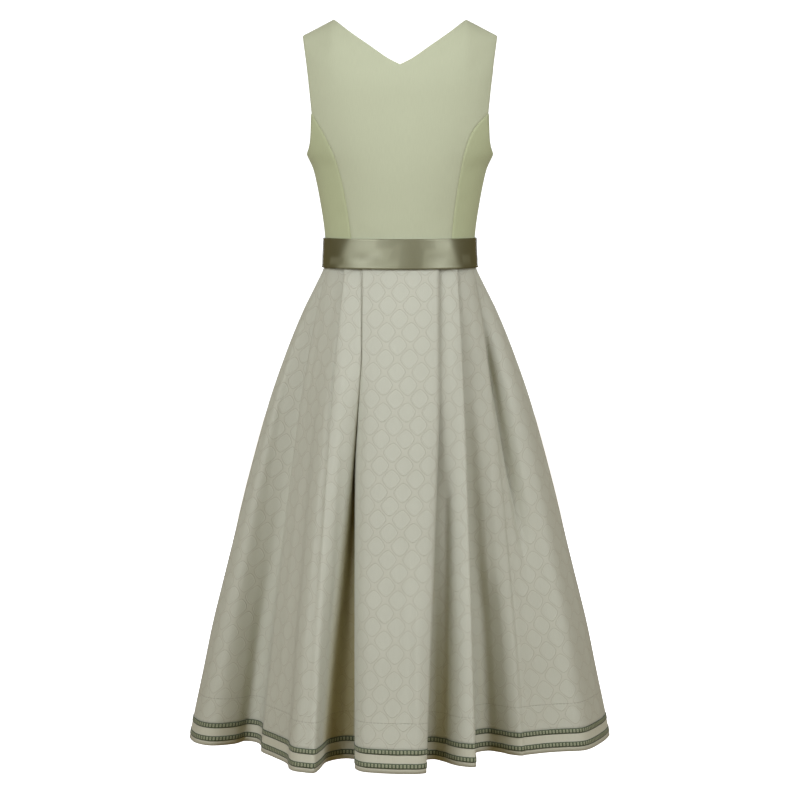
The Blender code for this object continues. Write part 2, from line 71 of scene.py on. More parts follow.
HEM_EDGE = 0.008
TRIM_HEIGHT = 0.009
TRIM_SPACING = 0.023
BAND_SEAM_Z = HEM_Z + HEM_EDGE + TRIM_SPACING + TRIM_HEIGHT / 2

BELT_OUT = 0.0040
BELT_FRONT_OUT = 0.0018
BELT_LAP_RISE = 0.0028

# The body's half width and its depths behind and in front, at each height.
Girth = namedtuple("Girth", "z half_width back front")
GIRTHS = [Girth(*row) for row in (
    (-0.404, 0.1304, 0.0915, 0.1010), (-0.378, 0.1307, 0.0920, 0.1012), (-0.351, 0.1334, 0.0950, 0.1100),
    (-0.318, 0.1386, 0.0985, 0.1220), (-0.285, 0.1447, 0.1020, 0.1340), (-0.257, 0.1516, 0.1045, 0.1395),
    (-0.2325, 0.1625, 0.1055, 0.1400), (-0.200, 0.1700, 0.1060, 0.1370), (-0.160, 0.1742, 0.1055, 0.1290),
    (-0.110, 0.1758, 0.1040, 0.1160), (-0.050, 0.1765, 0.1020, 0.1000), (0.000, 0.1765, 0.1000, 0.0900),
)]
BACK_SHOULDER_ROUND = 0.130  # height over which the back curves forward to the shoulder seam
FRONT_SHOULDER_ROUND = 0.140
# Outline curves, as (x, z) seen square on; the wearer's left and right back seams differ a little.
BACK_SEAM_LEFT = (
    (0.0822, -0.404), (0.0850, -0.373), (0.0920, -0.323), (0.1015, -0.275), (0.1135, -0.236),
    (0.1306, -0.200), (0.1530, -0.162),
)
BACK_SEAM_RIGHT = (
    (0.0890, -0.404), (0.0897, -0.373), (0.0945, -0.325), (0.1022, -0.275), (0.1124, -0.225),
    (0.1271, -0.190), (0.1530, -0.162),
)
BACK_ARMHOLE_TOP = ((0.1530, -0.162), (0.1555, -0.137), (0.1614, -0.085), (0.1695, -0.0285))
BACK_ARMHOLE_LOW = (
    (0.1530, -0.162), (0.1538, -0.180), (0.1550, -0.2045), (0.1575, -0.2200), (0.1625, -0.2325),
)
BACK_NECK = (
    (0.0, -0.080), (0.0095, -0.0755), (0.0223, -0.0685), (0.052, -0.0475), (0.087, -0.0225), (0.115, 0.0),
)
FRONT_SEAM = (
    (0.0660, -0.404), (0.0710, -0.360), (0.0830, -0.310), (0.0940, -0.265), (0.1050, -0.225),
    (0.1220, -0.185), (0.1455, -0.150),
)
FRONT_ARMHOLE_TOP = ((0.1455, -0.150), (0.1490, -0.115), (0.1600, -0.070), (0.1695, -0.0285))
FRONT_ARMHOLE_LOW = ((0.1455, -0.150), (0.1475, -0.190), (0.1545, -0.215), (0.1625, -0.2325))
FRONT_NECK = (
    (0.012, -0.222), (0.034, -0.206), (0.066, -0.170), (0.094, -0.115), (0.1105, -0.050), (0.115, 0.0),
)

# ---- the skirt's fold lines ----

Flare = namedtuple("Flare", "drop share")
FLARES = [Flare(*row) for row in (
    (0.000, 0.000), (0.026, 0.010), (0.060, 0.074), (0.105, 0.164), (0.172, 0.276), (0.265, 0.409),
    (0.402, 0.566), (0.511, 0.675), (0.595, 0.761), (0.664, 0.830), (0.747, 0.900), (0.825, 0.968),
    (0.866, 1.000),
)]
OPENING_POWER = 1.15
# Fold lines of the skirt cloth, in order from the centre of each half to its side, in millimetres.
# along and sunk: place at the waist, as distance round it from the centre and depth below the outer layer.
# side and deep: place at the hem, from the centre line and from the side seams' plane.
# A line keeps beside the line named in `beside` until the flare reaches `opens`, and is fully in its own
# place once the flare reaches `open_by`.
Line = namedtuple("Line", "name beside opens along sunk side deep open_by", defaults=(1.0,))


def beside(other, opens, *rows, open_by=1.0):
    """Fold lines that keep beside one other: each row is a name, along, sunk, side and deep."""
    return [Line(name, other, opens, *places, open_by) for name, *places in rows]


def alone(*rows):
    """Fold lines that run straight from the waist to their own place at the hem."""
    return beside(None, 0, *rows)


BACK_CENTRE = Line("back_centre", None, 0, 0, 0, 0, 277)
BACK_LEFT = (
    *beside("back_centre", 0.30, ("panel_left", 36, 0, 36, 271)),
    *beside(
        "back_centre", 0.28, ("panel_left_turn", 56, 0, 64, 260), ("fold1_edge", 66, 0, 75, 240),
        ("fold1_under", 65, 3.2, 75, 214), open_by=0.50,
    ),
    *alone(
        ("fold1_tuck", 38, 3.4, 62, 194), ("fold1_back", 38, 6.8, 64, 182),
        ("fold1_next", 62, 6.6, 94, 166),
    ),
    *beside("back_centre", 0.28, ("fold1_side", 67.5, 3.7, 125, 190)),
    *beside("fold2_edge", 0.38, ("fold2_slope", 82, 2.6, 137, 244)),
    *alone(("fold2_edge", 102, 0, 146, 271)),
    *beside(
        "fold2_edge", 0, ("fold2_under", 101, 3.4, 154, 270), ("fold2_tuck", 95, 7.4, 162, 266),
        ("fold2_back", 95, 10.8, 171, 262), ("fold2_next", 100, 8, 181, 254),
    ),
    *beside(
        "fold3_edge", 0.1, ("step_top", 113, 4.6, 188, 238), ("step_foot", 124, 3, 193, 204),
        ("fold3_face", 139, 1.2, 217, 158),
    ),
    *alone(("fold3_edge", 153, 0, 241, 116)),
    *beside(
        "fold3_edge", 0.12, ("fold3_under", 152, 3.2, 243, 98), ("fold3_tuck", 141, 4.4, 246, 64),
        ("fold3_back", 141, 7.8, 257, 42), ("fold3_next", 150, 6.6, 275, 34),
    ),
    *beside(
        "fold4_edge", 0.1, ("fold4_face", 161, 4, 292, 56), ("fold4_crest", 171, 2, 333, 70),
        ("fold4_turn", 179, 0.6, 361, 49),
    ),
    *alone(("fold4_edge", 185, 0, 376, -2)),
    *beside(
        "fold4_edge", 0.1, ("fold4_under", 184, 3.2, 374, -14), ("fold4_tuck", 173, 5, 362, -24),
        ("fold4_back", 173, 8.3, 350, -33), ("seam_left", 194, 7.4, 343, -48),
    ),
)
BACK_RIGHT = (
    *beside("back_centre", 0.30, ("panel_right", 36, 0, 34, 276)),
    *beside("back_centre", 0.40, ("fold5_edge", 69, 0, 44, 268), ("fold5_under", 68, 3.2, 41, 255)),
    *beside(
        "back_centre", 0.36, ("fold5_tuck", 42, 3.4, 36, 212), ("fold5_back", 42, 6.8, 41, 180),
        ("fold5_next", 66, 6.6, 59, 172),
    ),
    *beside("fold6_edge", 0.40, ("fold6_slope", 74, 5.2, 80, 196)),
    *beside("fold6_edge", 0.30, ("fold6_face", 90, 2.2, 101, 220)),
    *alone(("fold6_edge", 106, 0, 127, 229)),
    *beside(
        "fold6_edge", 0.12, ("fold6_under", 105, 3.2, 129, 208), ("fold6_tuck", 92, 5.2, 127, 158),
        ("fold6_back", 92, 8.5, 133, 122), ("fold6_next", 103, 6.6, 151, 110),
    ),
    *beside("fold7_edge", 0.1, ("fold7_slope", 118, 4.4, 174, 119), ("fold7_face", 138, 1.6, 193, 138)),
    *alone(("fold7_edge", 158, 0, 211, 146)),
    *beside(
        "fold7_edge", 0, ("fold7_under", 157.5, 3.6, 218, 140), ("fold7_tuck", 154, 9.6, 227, 136),
        ("fold7_back", 154, 14.4, 243, 128), ("fold7_next", 155.5, 12.4, 263, 120),
    ),
    *beside("fold8_edge", 0, ("fold8_face", 163, 6.6, 288, 114)),
    *beside("fold8_edge", 0.05, ("fold8_crest", 172, 2.8, 322, 106)),
    *beside("fold8_edge", 0.1, ("fold8_turn", 180, 0.8, 350, 62)),
    *alone(("fold8_edge", 186, 0, 376, -18)),
    *beside(
        "fold8_edge", 0.1, ("fold8_under", 185, 3.2, 373, -30), ("fold8_tuck", 174, 5.1, 361, -39),
        ("fold8_back", 174, 8.4, 351, -47), ("seam_right", 194, 7.4, 343, -57),
    ),
)
FRONT_CENTRE = Line("front_centre", None, 0, 0, 0, 0, 280)
# One half of the front, x towards the side. Its two halves differ by FRONT_UNEVEN.
FRONT_HALF = (
    *beside("front_centre", 0.30, ("panel", 36, 0, 38, 277)),
    *beside(
        "front_centre", 0.42, ("fold_a_edge", 66, 0, 68, 258), ("fold_a_under", 65, 3.2, 69, 243),
        ("fold_a_tuck", 42, 3.4, 74, 205), ("fold_a_back", 42, 6.8, 90, 184),
        ("fold_a_next", 63, 6.6, 108, 190),
    ),
    *beside("fold_b_edge", 0.3, ("fold_b_slope", 71, 4.8, 122, 222)),
    *alone(("fold_b_edge", 99, 0, 143, 256)),
    *beside(
        "fold_b_edge", 0.05, ("fold_b_under", 98, 3.2, 156, 250), ("fold_b_tuck", 86, 5.5, 168, 224),
        ("fold_b_back", 86, 8.8, 182, 196), ("fold_b_next", 96, 6.6, 202, 182),
    ),
    *beside("fold_c_edge", 0.1, ("fold_c_slope", 108, 4.4, 226, 188)),
    *alone(("fold_c_edge", 132, 0, 254, 196)),
    *beside(
        "fold_c_edge", 0.1, ("fold_c_under", 131, 3.2, 264, 182), ("fold_c_tuck", 120, 5.5, 269, 152),
        ("fold_c_back", 120, 8.8, 281, 126), ("fold_c_next", 129, 6.6, 301, 116),
    ),
    *beside("fold_d_edge", 0.1, ("fold_d_face", 143, 3.4, 326, 118)),
    *alone(("fold_d_edge", 160, 0, 352, 98)),
    *beside(
        "fold_d_edge", 0.1, ("fold_d_under", 159, 3.2, 355, 86), ("fold_d_tuck", 149, 5.5, 350, 74),
        ("fold_d_back", 149, 8.8, 342, 66),
    ),
)
FRONT_UNEVEN = 5  # mm, by which the front's two halves differ at the hem
UNEVEN_SPAN = 23  # mm of width over which that difference changes

# ---- creases placed one by one ----

# A crease of the bodice, as a line (x, z) to (x, z) seen square on; height is out of the cloth, or in if
# negative.
Crease = namedtuple("Crease", "x0 z0 x1 z1 height width")
BACK_CREASES = [Crease(*row) for row in (
    (-0.160, -0.040, -0.128, -0.052, -0.0012, 0.010), (-0.158, -0.068, -0.118, -0.078, 0.0010, 0.013),
    (0.152, -0.050, 0.120, -0.092, -0.0012, 0.011), (0.160, -0.082, 0.132, -0.118, 0.0009, 0.012),
    (-0.142, -0.235, -0.112, -0.262, -0.0008, 0.010), (0.145, -0.238, 0.118, -0.270, -0.0009, 0.010),
    (-0.070, -0.352, -0.020, -0.362, 0.0006, 0.009), (0.040, -0.350, 0.082, -0.340, -0.0007, 0.010),
    (-0.115, -0.330, -0.088, -0.345, -0.0007, 0.009), (0.100, -0.322, 0.122, -0.312, -0.0006, 0.008),
    (0.012, -0.110, 0.004, -0.190, -0.0005, 0.014),
)]
FRONT_CREASES = [Crease(*row) for row in (
    (-0.150, -0.055, -0.124, -0.085, -0.0011, 0.010), (0.154, -0.048, 0.122, -0.078, -0.0010, 0.011),
    (-0.120, -0.215, -0.082, -0.236, -0.0012, 0.010), (0.124, -0.210, 0.080, -0.240, -0.0011, 0.011),
    (-0.110, -0.262, -0.070, -0.270, 0.0009, 0.010), (0.112, -0.268, 0.074, -0.272, 0.0008, 0.012),
    (-0.060, -0.345, -0.020, -0.352, -0.0007, 0.008), (0.034, -0.338, 0.072, -0.350, -0.0008, 0.009),
)]
CREASE_HALF = 0.42  # half the crease, as a share of its length, before it dies away

# A soft fold of the skirt, between two drops below the waist in metres: it starts `away` from a fold line
# and ends `away_low` from it, along the cloth. These and height and width are in millimetres. fade is the
# drop over which it dies away at its foot.
WAVE_FADE = 0.12
Wave = namedtuple("Wave", "beside away away_low top foot height width fade", defaults=(WAVE_FADE,))
WAVES = {
    "back_left": (
        ("back_centre", 14, 22, 0.10, 0.62, -0.9, 13), ("back_centre", 8, 4, 0.42, 0.90, 1.2, 16),
        ("fold2_edge", -20, -34, 0.22, 0.70, -1.6, 9), ("fold2_edge", -46, -60, 0.50, 0.90, 1.6, 12),
        ("fold3_edge", -14, -30, 0.05, 0.40, -1.0, 7), ("fold3_edge", -32, -46, 0.30, 0.80, 1.5, 11),
        ("fold4_edge", -12, -30, 0.08, 0.45, -1.2, 8), ("fold4_edge", -26, -40, 0.30, 0.88, -1.6, 12),
        ("back_centre", 14, 20, 0.50, 0.88, -2.5, 12),
    ),
    "back_right": (
        ("back_centre", 18, 12, 0.30, 0.90, -1.2, 13), ("fold6_slope", -4, -5, 0.34, 0.90, -7.0, 8),
        ("fold6_next", 6, 8, 0.50, 0.92, -4.5, 8), ("fold7_next", 4, 6, 0.10, 0.60, -30.0, 10, 0.26),
        ("fold7_slope", -4, -4, 0.20, 0.64, 7.0, 15), ("fold8_face", 2, 4, 0.12, 0.50, 3.0, 14),
        ("fold7_face", -3, -3, 0.26, 0.66, 4.0, 15), ("back_centre", 8, 14, 0.42, 0.88, -3.0, 12),
        ("panel_right", -6, -8, 0.55, 0.88, 2.5, 9), ("fold6_edge", -10, -24, 0.08, 0.50, 0.9, 7),
        ("fold6_edge", -24, -42, 0.34, 0.88, -1.7, 12), ("fold7_edge", -12, -26, 0.06, 0.36, -1.1, 7),
        ("fold7_edge", -28, -48, 0.34, 0.90, 1.4, 12), ("fold8_edge", -14, -34, 0.10, 0.55, -1.3, 9),
        ("fold8_edge", -30, -48, 0.44, 0.90, 1.4, 12),
    ),
    "front_left": (
        ("front_centre", 16, 24, 0.20, 0.80, -1.1, 13), ("fold_a_edge", -14, -26, 0.26, 0.90, -1.3, 10),
        ("fold_b_edge", -12, -24, 0.10, 0.60, -1.2, 8), ("fold_c_edge", -16, -28, 0.20, 0.80, -1.2, 9),
        ("fold_d_edge", -10, -30, 0.12, 0.86, -1.3, 10),
    ),
    "front_right": (
        ("front_centre", 20, 10, 0.36, 0.90, 1.1, 14), ("fold_a_edge", -18, -22, 0.16, 0.62, 1.1, 9),
        ("fold_b_edge", -14, -30, 0.28, 0.88, -1.4, 10), ("fold_c_edge", -12, -26, 0.08, 0.50, 1.0, 8),
        ("fold_d_edge", -14, -24, 0.24, 0.90, 1.2, 10),
    ),
}

# A crease of the ribbon: angle from the back centre in degrees and share of its height, from one end to the
# other; height in millimetres, width as a share of the ribbon's height.
Pucker = namedtuple("Pucker", "angle0 share0 angle1 share1 height width")
PUCKERS = [Pucker(*row) for row in (
    (-62, 0.95, -36, 0.10, 0.9, 0.30), (-40, 0.30, -20, 0.42, -0.7, 0.16),
    (-26, 0.28, -10, 0.36, 0.6, 0.16), (-12, 0.55, 2, 0.30, -0.5, 0.22), (6, 0.90, 10, 0.05, 0.7, 0.34),
    (20, 0.30, 34, 0.42, -0.5, 0.20), (38, 0.85, 48, 0.20, 0.8, 0.26), (60, 0.20, 84, 0.60, -0.8, 0.24),
    (100, 0.70, 124, 0.35, 0.7, 0.26), (142, 0.25, 162, 0.60, -0.8, 0.22),
    (184, 0.60, 198, 0.40, 0.6, 0.24), (214, 0.30, 238, 0.65, -0.8, 0.24),
    (256, 0.70, 274, 0.30, 0.7, 0.22),
)]

# A patch of painted shade on the satin, standing in for the dark parts of its reflection, each laid over
# the
# last: its middle as angle from the back centre and share of its height, its half sizes in the same units,
# how far its top leans on from its foot, and how dark it is.
Patch = namedtuple("Patch", "angle share half_angle half_share lean dark")
SATIN_PAINTED_SHADE_PATCHES = [Patch(*row) for row in (
    (-70, 0.50, 24, 2.00, 12, 0.86), (-53, 0.25, 9, 0.13, 6, 0.42), (-22, 0.36, 8, 0.10, 8, 0.24),
    (-9, 0.88, 11, 0.20, 6, 0.30), (-2, 0.55, 5, 0.30, 10, 0.16), (9, 0.50, 9, 2.00, 3, 0.34),
    (22, 0.82, 6, 0.18, -4, 0.22), (27, 0.35, 8, 0.14, 6, 0.12), (68, 0.50, 24, 2.00, -10, 0.86),
    (57, 0.30, 6, 0.16, -6, 0.60), (120, 0.60, 16, 0.50, 12, 0.50), (-130, 0.40, 18, 0.60, -10, 0.50),
    (165, 0.50, 12, 0.70, 8, 0.40),
)]

# ---- cloth as it looks ----

BODICE_CLOTH = 0.0013
SKIRT_CLOTH = 0.0010
RIBBON = 0.0008
TRIM_CLOTH = 0.0007
TRIM_OUT = 0.0010  # the trim's middle lies this far outside the middle of the band
SEAM_GROOVE = 0.0009  # how far a sewn seam pulls the cloth in
SEAM_GROOVE_WIDTH = 0.0018
TURNED_RISE = 0.0004  # swelling of a turned edge
TURNED_AT = 0.002
TURNED_WIDTH = 0.0022
LAP_END = 0.045  # where the right front's rise over the lap ends, and the width it takes to fall
LAP_FALL = 0.025

# Rows and columns of the bodice's grids
SEAM_ROWS = 34
ARMHOLE_ROWS = 26
SIDE_COLUMNS = 14
BACK_NECK_COLUMNS = 24
FRONT_NECK_COLUMNS = 34
SHOULDER_COLUMNS = 9
EDGE_SHARES = (0.006, 0.012, 0.02, 0.032, 0.05)  # places close to a sewn or turned edge
EDGE_ZONE = 0.075  # and where the even spacing starts

SKIRT_ROWS = 96
SAMPLE_STEP = 0.0058  # spacing of the skirt's fine columns at the hem
PLEAT_REACH = math.radians(4)  # how far round the ring counts as the same pleat
# Painted shade inside the skirt's pleats, darker and browner the deeper the cloth lies:
PLEAT_START = 0.026  # depth at which a pleat starts to look warmer, and the depth over which it goes on
PLEAT_DEPTH = 0.050
# The side pleats get no painted shade: how far round from the side it starts, as a sine, and its span
PLEAT_SIDES = (0.55, 0.25)

BELT_TURNS = (166, 550)  # degrees round from the back centre, past itself at the front
BELT_COLUMNS = 361
BELT_ROWS = 19
BELT_LIFT = (70, 36)  # degrees before its end where it rises over itself, and over which
BELT_SPREAD = 0.0019  # how much further out its foot is than its top
DEGREE_LENGTH = 0.0023
PUCKER_SHARE = 0.6
RIM_RISE = 0.0003
RIM_SHARE = 0.035

# ---- finishes ----

BODICE_COLOUR = (0.484, 0.508, 0.335)
# The side panels' colour: the bodice's green painted darker and more yellow, as painted shade for panels
# that turn away from the light.
BODICE_SIDE_PAINTED_SHADE_COLOUR = (0.450, 0.484, 0.277)
SKIRT_GROUND = (0.486, 0.488, 0.382)
SKIRT_BAND = (0.485, 0.482, 0.376)
SKIRT_DARK_THREAD = (0.430, 0.424, 0.322)
SKIRT_LIGHT_THREAD = (0.520, 0.521, 0.412)
STITCH_COLOUR = (0.35, 0.33, 0.26)
# Painted shade deep inside the pleats: the skirt's colour is multiplied by this, darker and browner.
PLEAT_PAINTED_SHADE = (0.97, 0.88, 0.62)
HEM_COLOUR = (0.525, 0.514, 0.386)
SATIN_COLOUR = (0.270, 0.270, 0.165)
# The satin's painted shade colour, laid on where its reflection is darker.
SATIN_PAINTED_SHADE = (0.090, 0.082, 0.032)
TRIM_GROUND = (0.066, 0.084, 0.042)
TRIM_EDGE = (0.098, 0.122, 0.066)
TRIM_PALE = (0.290, 0.305, 0.188)
BUTTON_DARK = (0.13, 0.14, 0.07)
BUTTON_PALE = (0.24, 0.24, 0.13)

COTTON_THREAD = 0.0007
SKIRT_THREAD = 0.0006
TRIM_THREAD = 0.0005
SATIN_THREAD = 0.0004
SLUB_STRETCH = (900.0, 60.0, 1.0)
CLOUD_SCALE = 9.0
FIBRE_STRETCH = (60.0, 2600.0, 1.0)

CELL_APART = 0.0415  # the lattice's repeats across and up
CELL_RISE = 0.0447
CELL_REACH = 0.0152  # from a cell's middle to its outline
CELL_ROUNDNESS = 1.4  # 1 gives diamond cells and 2 round ones
CELL_SQUASH = 0.93  # the cells are a little taller than wide
LATTICE_LINE = 0.0004
LATTICE_RELIEF = 0.00027
PATTERN_DROP = 0.0202  # from the waist seam up to a row of cells
PATTERN_LEAN = 0.05  # how far the columns of cells drift aside in a metre
PATTERN_TRUE = 0.087  # below the waist seam, where they stand true

STITCH_LINE_Z = HEM_Z + 0.0825  # the inner turning's stitches, above the hem band
STITCH_HALF = 0.0004
STITCH_SOFT = 0.0007
STITCH_REPEAT = 0.0065
STITCH_SHARE = 0.72
STITCH_STRENGTH = 0.55

TRIM_REPEAT = 0.0062
BLOCK_HALF_LENGTH = 0.0014
BLOCK_HALF_HEIGHT = 0.0023
BLOCK_SOFT = 0.0008
BLOCK_CENTRE = 0.0004
TRIM_EDGE_AT = 0.0033  # from the trim's middle line
TRIM_EDGE_HALF = 0.0003
TRIM_RELIEF = 0.0003

BUTTON_THICK = 0.0022
BUTTON_INSETS = ((0.0010, 0.0), (0.0006, -0.0006), (0.0018, 0.0003))  # width and rise of each step inwards
BUTTON_BEVEL = 0.00035

# ---- floor, light and camera ----

FLOOR_Z = -1.42
FLOOR_SIZE = 14
FLOOR_COLOUR = (0.9, 0.9, 0.9)
FLOOR_GLOW = 1.0
WHITE = (1, 1, 1)
WORLD_LIGHT = 0.17
BACKGROUND_LIGHT = 1.2  # how much brighter the surround itself is
WARM_SURROUND = (1.0, 0.70, 0.22)
COOL_LAMP = (0.945, 1.0, 1.15)
LIGHT_AIM_Z = -0.55
# name, azimuth from the camera's side, height, distance, width and height of the box, power, gloss only
LIGHTS = (
    ("left_softbox", -39, 0.85, 3.4, 2.6, 2.4, 107, False),
    ("right_softbox", 50, 0.85, 3.4, 1.7, 2.4, 85, False),
    ("left_reflector", -8, 0.0, 3.4, 1.8, 2.6, 15, True),
    ("front_side_fill", 180, 0.3, 3.4, 3.0, 2.0, 90, False),
)
CAMERA_DISTANCE = 4.5
CAMERA_Z = -0.2277
CAMERA_TILT = 5.55
CAMERA_LENS = 115.2
CAMERA_SENSOR = 36

# ---- smooth curves ----


def smooth(xs, ys, x):
    """The smooth curve through the points (xs, ys), at each x."""
    xs, ys = np.asarray(xs, float), np.asarray(ys, float)
    x = np.clip(np.asarray(x, float), xs[0], xs[-1])
    i = np.clip(np.searchsorted(xs, x, side="right") - 1, 0, len(xs) - 2)
    high = np.minimum(np.arange(len(xs)) + 1, len(xs) - 1)
    low = np.maximum(np.arange(len(xs)) - 1, 0)
    slopes = (ys[high] - ys[low]) / (xs[high] - xs[low])
    width = xs[i + 1] - xs[i]
    return hermite((x - xs[i]) / width, ys[i], ys[i + 1], width * slopes[i], width * slopes[i + 1])


def hermite(t, start, end, start_slope, end_slope):
    level = (1 + 2 * t) * (1 - t) ** 2 * start + t**2 * (3 - 2 * t) * end
    return level + t * (1 - t) ** 2 * start_slope - t**2 * (1 - t) * end_slope


def lengths_along(points):
    """How far each point is along its polyline. Points run along the first axis."""
    points = np.asarray(points, float)
    steps = np.linalg.norm(np.diff(points, axis=0), axis=-1)
    return np.concatenate([np.zeros_like(steps[:1]), np.cumsum(steps, axis=0)])


def shares_along(points):
    lengths = lengths_along(points)
    return lengths / lengths[-1]


def along_curve(points, shares):
    """Points at these shares of the length of the smooth curve through the given points."""
    lengths = lengths_along(points)
    at = np.asarray(shares) * lengths[-1]
    return np.stack([smooth(lengths, column, at) for column in np.transpose(points)], axis=-1)


def ease(t):
    """0 to 1, smooth at both ends."""
    t = np.clip(t, 0.0, 1.0)
    return t * t * (3 - 2 * t)


def bump(away, width, power=2):
    """1 at the middle, falling away on both sides."""
    return np.exp(-((away / width) ** power))


def even(count):
    return np.linspace(0, 1, count + 1)


def close_at_ends(count, first, last):
    """Shares from 0 to 1, bunched towards a sewn edge at either end."""
    near = np.array(EDGE_SHARES)
    found = [np.linspace(EDGE_ZONE if first else 0, 1 - EDGE_ZONE if last else 1, count)]
    if first:
        found = [np.array([0.0]), near, *found]
    if last:
        found = [*found, 1 - near[::-1], np.array([1.0])]
    return np.concatenate(found)


# ---- the bodice ----


def girth(z, column):
    return smooth([g.z for g in GIRTHS], [getattr(g, column) for g in GIRTHS], z)


def turns_of(points):
    """Outline points (x, z) as (angle round the body from the centre line, z)."""
    points = np.asarray(points, float)
    share = np.clip(points[:, 0] / girth(points[:, 1], "half_width"), -1, 1)
    return np.stack([np.arcsin(share), points[:, 1]], axis=-1)


def on_body(turns, front):
    """The grid of the bodice's form at these (angle from the centre line, z), and its uv.

    The uv is where each point lies on the cloth before it is sewn, in metres, near enough for its weave.
    """
    turn, z = turns[..., 0], turns[..., 1]
    wide = girth(z, "half_width")
    x = wide * np.sin(turn)
    slope = SHOULDER_TIP_Z / (SHOULDER_TIP_X - SHOULDER_NECK_X)
    fall = slope * np.maximum(0.0, np.abs(x) - SHOULDER_NECK_X)
    zone = FRONT_SHOULDER_ROUND if front else BACK_SHOULDER_ROUND
    short = 1 - np.clip((fall - z) / zone, 0, 1)
    depth = girth(z, "front" if front else "back") * np.sqrt(1 - short**2) * np.cos(turn)
    return np.stack([x, depth if front else -depth, z], axis=-1), np.stack([turn * wide, z], axis=-1)


def filled(bottom, top, inner, outer, columns, rows):
    """A grid of (angle, z) filled in between four outline curves that meet at their ends."""
    u, v = columns[None, :, None], rows[:, None, None]
    sides = (1 - v) * bottom[None] + v * top[None] + (1 - u) * inner[:, None] + u * outer[:, None]
    low = (1 - u) * bottom[0] + u * bottom[-1]
    high = (1 - u) * top[0] + u * top[-1]
    return sides - (1 - v) * low - v * high


def mirrored(points):
    return np.asarray(points) * (-1, 1)


def outer_edge(seam, armhole):
    """The outer edge of a centre panel, up its princess seam and armhole, and each point's share of it."""
    upper = along_curve(armhole, close_at_ends(ARMHOLE_ROWS, False, True))[1:]
    points = np.concatenate([along_curve(seam, even(SEAM_ROWS)), upper])
    return points, shares_along(points)


def straight(start, end, shares):
    """Points (x, z) at these shares of the way from start to end."""
    start, end = np.asarray(start, float), np.asarray(end, float)
    return start + (end - start) * np.asarray(shares)[:, None]


def neck_and_shoulder(neck, columns):
    shoulder = close_at_ends(SHOULDER_COLUMNS, False, True)[1:]
    line = straight((SHOULDER_NECK_X, 0.0), (SHOULDER_TIP_X, SHOULDER_TIP_Z), shoulder)
    return np.concatenate([along_curve(neck, even(columns)), line])


def back_centre():
    half = neck_and_shoulder(BACK_NECK, BACK_NECK_COLUMNS)
    top = np.concatenate([mirrored(half[:0:-1]), half])
    columns = shares_along(top)
    bottom = straight((-BACK_SEAM_LEFT[0][0], WAIST_Z), (BACK_SEAM_RIGHT[0][0], WAIST_Z), columns)
    left, rows = outer_edge(BACK_SEAM_LEFT, BACK_ARMHOLE_TOP)
    right, _ = outer_edge(BACK_SEAM_RIGHT, BACK_ARMHOLE_TOP)
    return on_body(filled(*map(turns_of, (bottom, top, mirrored(left), right)), columns, rows), False)


def side_panel(seam, armhole, front, side):
    """A side panel, from its princess seam to the side seam. side is -1 for the wearer's left, else 1."""
    rows, columns = even(SEAM_ROWS), close_at_ends(SIDE_COLUMNS, True, True)
    inner = turns_of(along_curve(seam, rows))
    top = turns_of(along_curve(armhole, columns))
    top[-1] = (math.pi / 2, UNDERARM_Z)
    outer = straight((math.pi / 2, WAIST_Z), (math.pi / 2, UNDERARM_Z), rows)
    bottom = straight((inner[0][0], WAIST_Z), (math.pi / 2, WAIST_Z), columns)
    turns = filled(bottom, top, inner, outer, columns, rows)
    return on_body(turns * (side, 1), front)


def front_centre(side):
    """A front centre panel. The right one (side = 1) laps outside the left one."""
    inner_top = (-LAP, FRONT_NECK[0][1])
    top = neck_and_shoulder((inner_top, *FRONT_NECK), FRONT_NECK_COLUMNS)
    columns = shares_along(top)
    bottom = straight((-LAP, WAIST_Z), (FRONT_SEAM[0][0], WAIST_Z), columns)
    outer, rows = outer_edge(FRONT_SEAM, FRONT_ARMHOLE_TOP)
    inner = straight((-LAP, WAIST_Z), inner_top, rows)
    turns = filled(*map(turns_of, (bottom, top, inner, outer)), columns, rows)
    grid, uv = on_body(turns * (side, 1), True)
    if side > 0:
        grid[..., 1] += LAP_RISE * ease((LAP_END - grid[..., 0]) / LAP_FALL)
    return grid, uv


def outward_normals(grid):
    """The cloth's own direction out of the body at each point."""
    normals = np.cross(np.gradient(grid, axis=1), np.gradient(grid, axis=0))
    normals /= np.maximum(np.linalg.norm(normals, axis=-1, keepdims=True), 1e-12)
    return normals * np.sign((normals * grid * (1, 1, 0)).sum(axis=-1).mean())


def creased(grid, creases, sewn, turned):
    """The grid with its creases, pulled in along its sewn edges and rounded over at its turned edges."""
    shift = np.zeros(grid.shape[:2])
    for c in creases:
        start, run = np.array((c.x0, c.z0)), np.array((c.x1 - c.x0, c.z1 - c.z0))
        from_start = grid[..., (0, 2)] - start
        share = (from_start @ run) / (run @ run)
        aside = (from_start[..., 0] * run[1] - from_start[..., 1] * run[0]) / np.linalg.norm(run)
        shift += c.height * bump(aside, c.width) * bump(share - 0.5, CREASE_HALF, 4)
    edges = {"left": grid[:, :1], "right": grid[:, -1:], "top": grid[-1:]}
    away = {edge: np.linalg.norm(grid - line, axis=-1) for edge, line in edges.items()}
    for edge in sewn:
        shift -= SEAM_GROOVE * bump(away[edge], SEAM_GROOVE_WIDTH)
        shift += 0.25 * SEAM_GROOVE * bump(away[edge] - 3 * SEAM_GROOVE_WIDTH, 2 * SEAM_GROOVE_WIDTH)
    for edge in turned:
        shift += TURNED_RISE * bump(away[edge] - TURNED_AT, TURNED_WIDTH)
    return grid + outward_normals(grid) * shift[..., None]


# ---- the skirt ----


def waist_at(turn):
    depth = np.where(np.cos(turn) > 0, WAIST_BACK, WAIST_FRONT)
    return np.stack([WAIST_HALF_WIDTH * np.sin(turn), -depth * np.cos(turn)], axis=-1)


WAIST_TURNS = np.radians(np.arange(181))
WAIST_LENGTHS = lengths_along(waist_at(WAIST_TURNS))


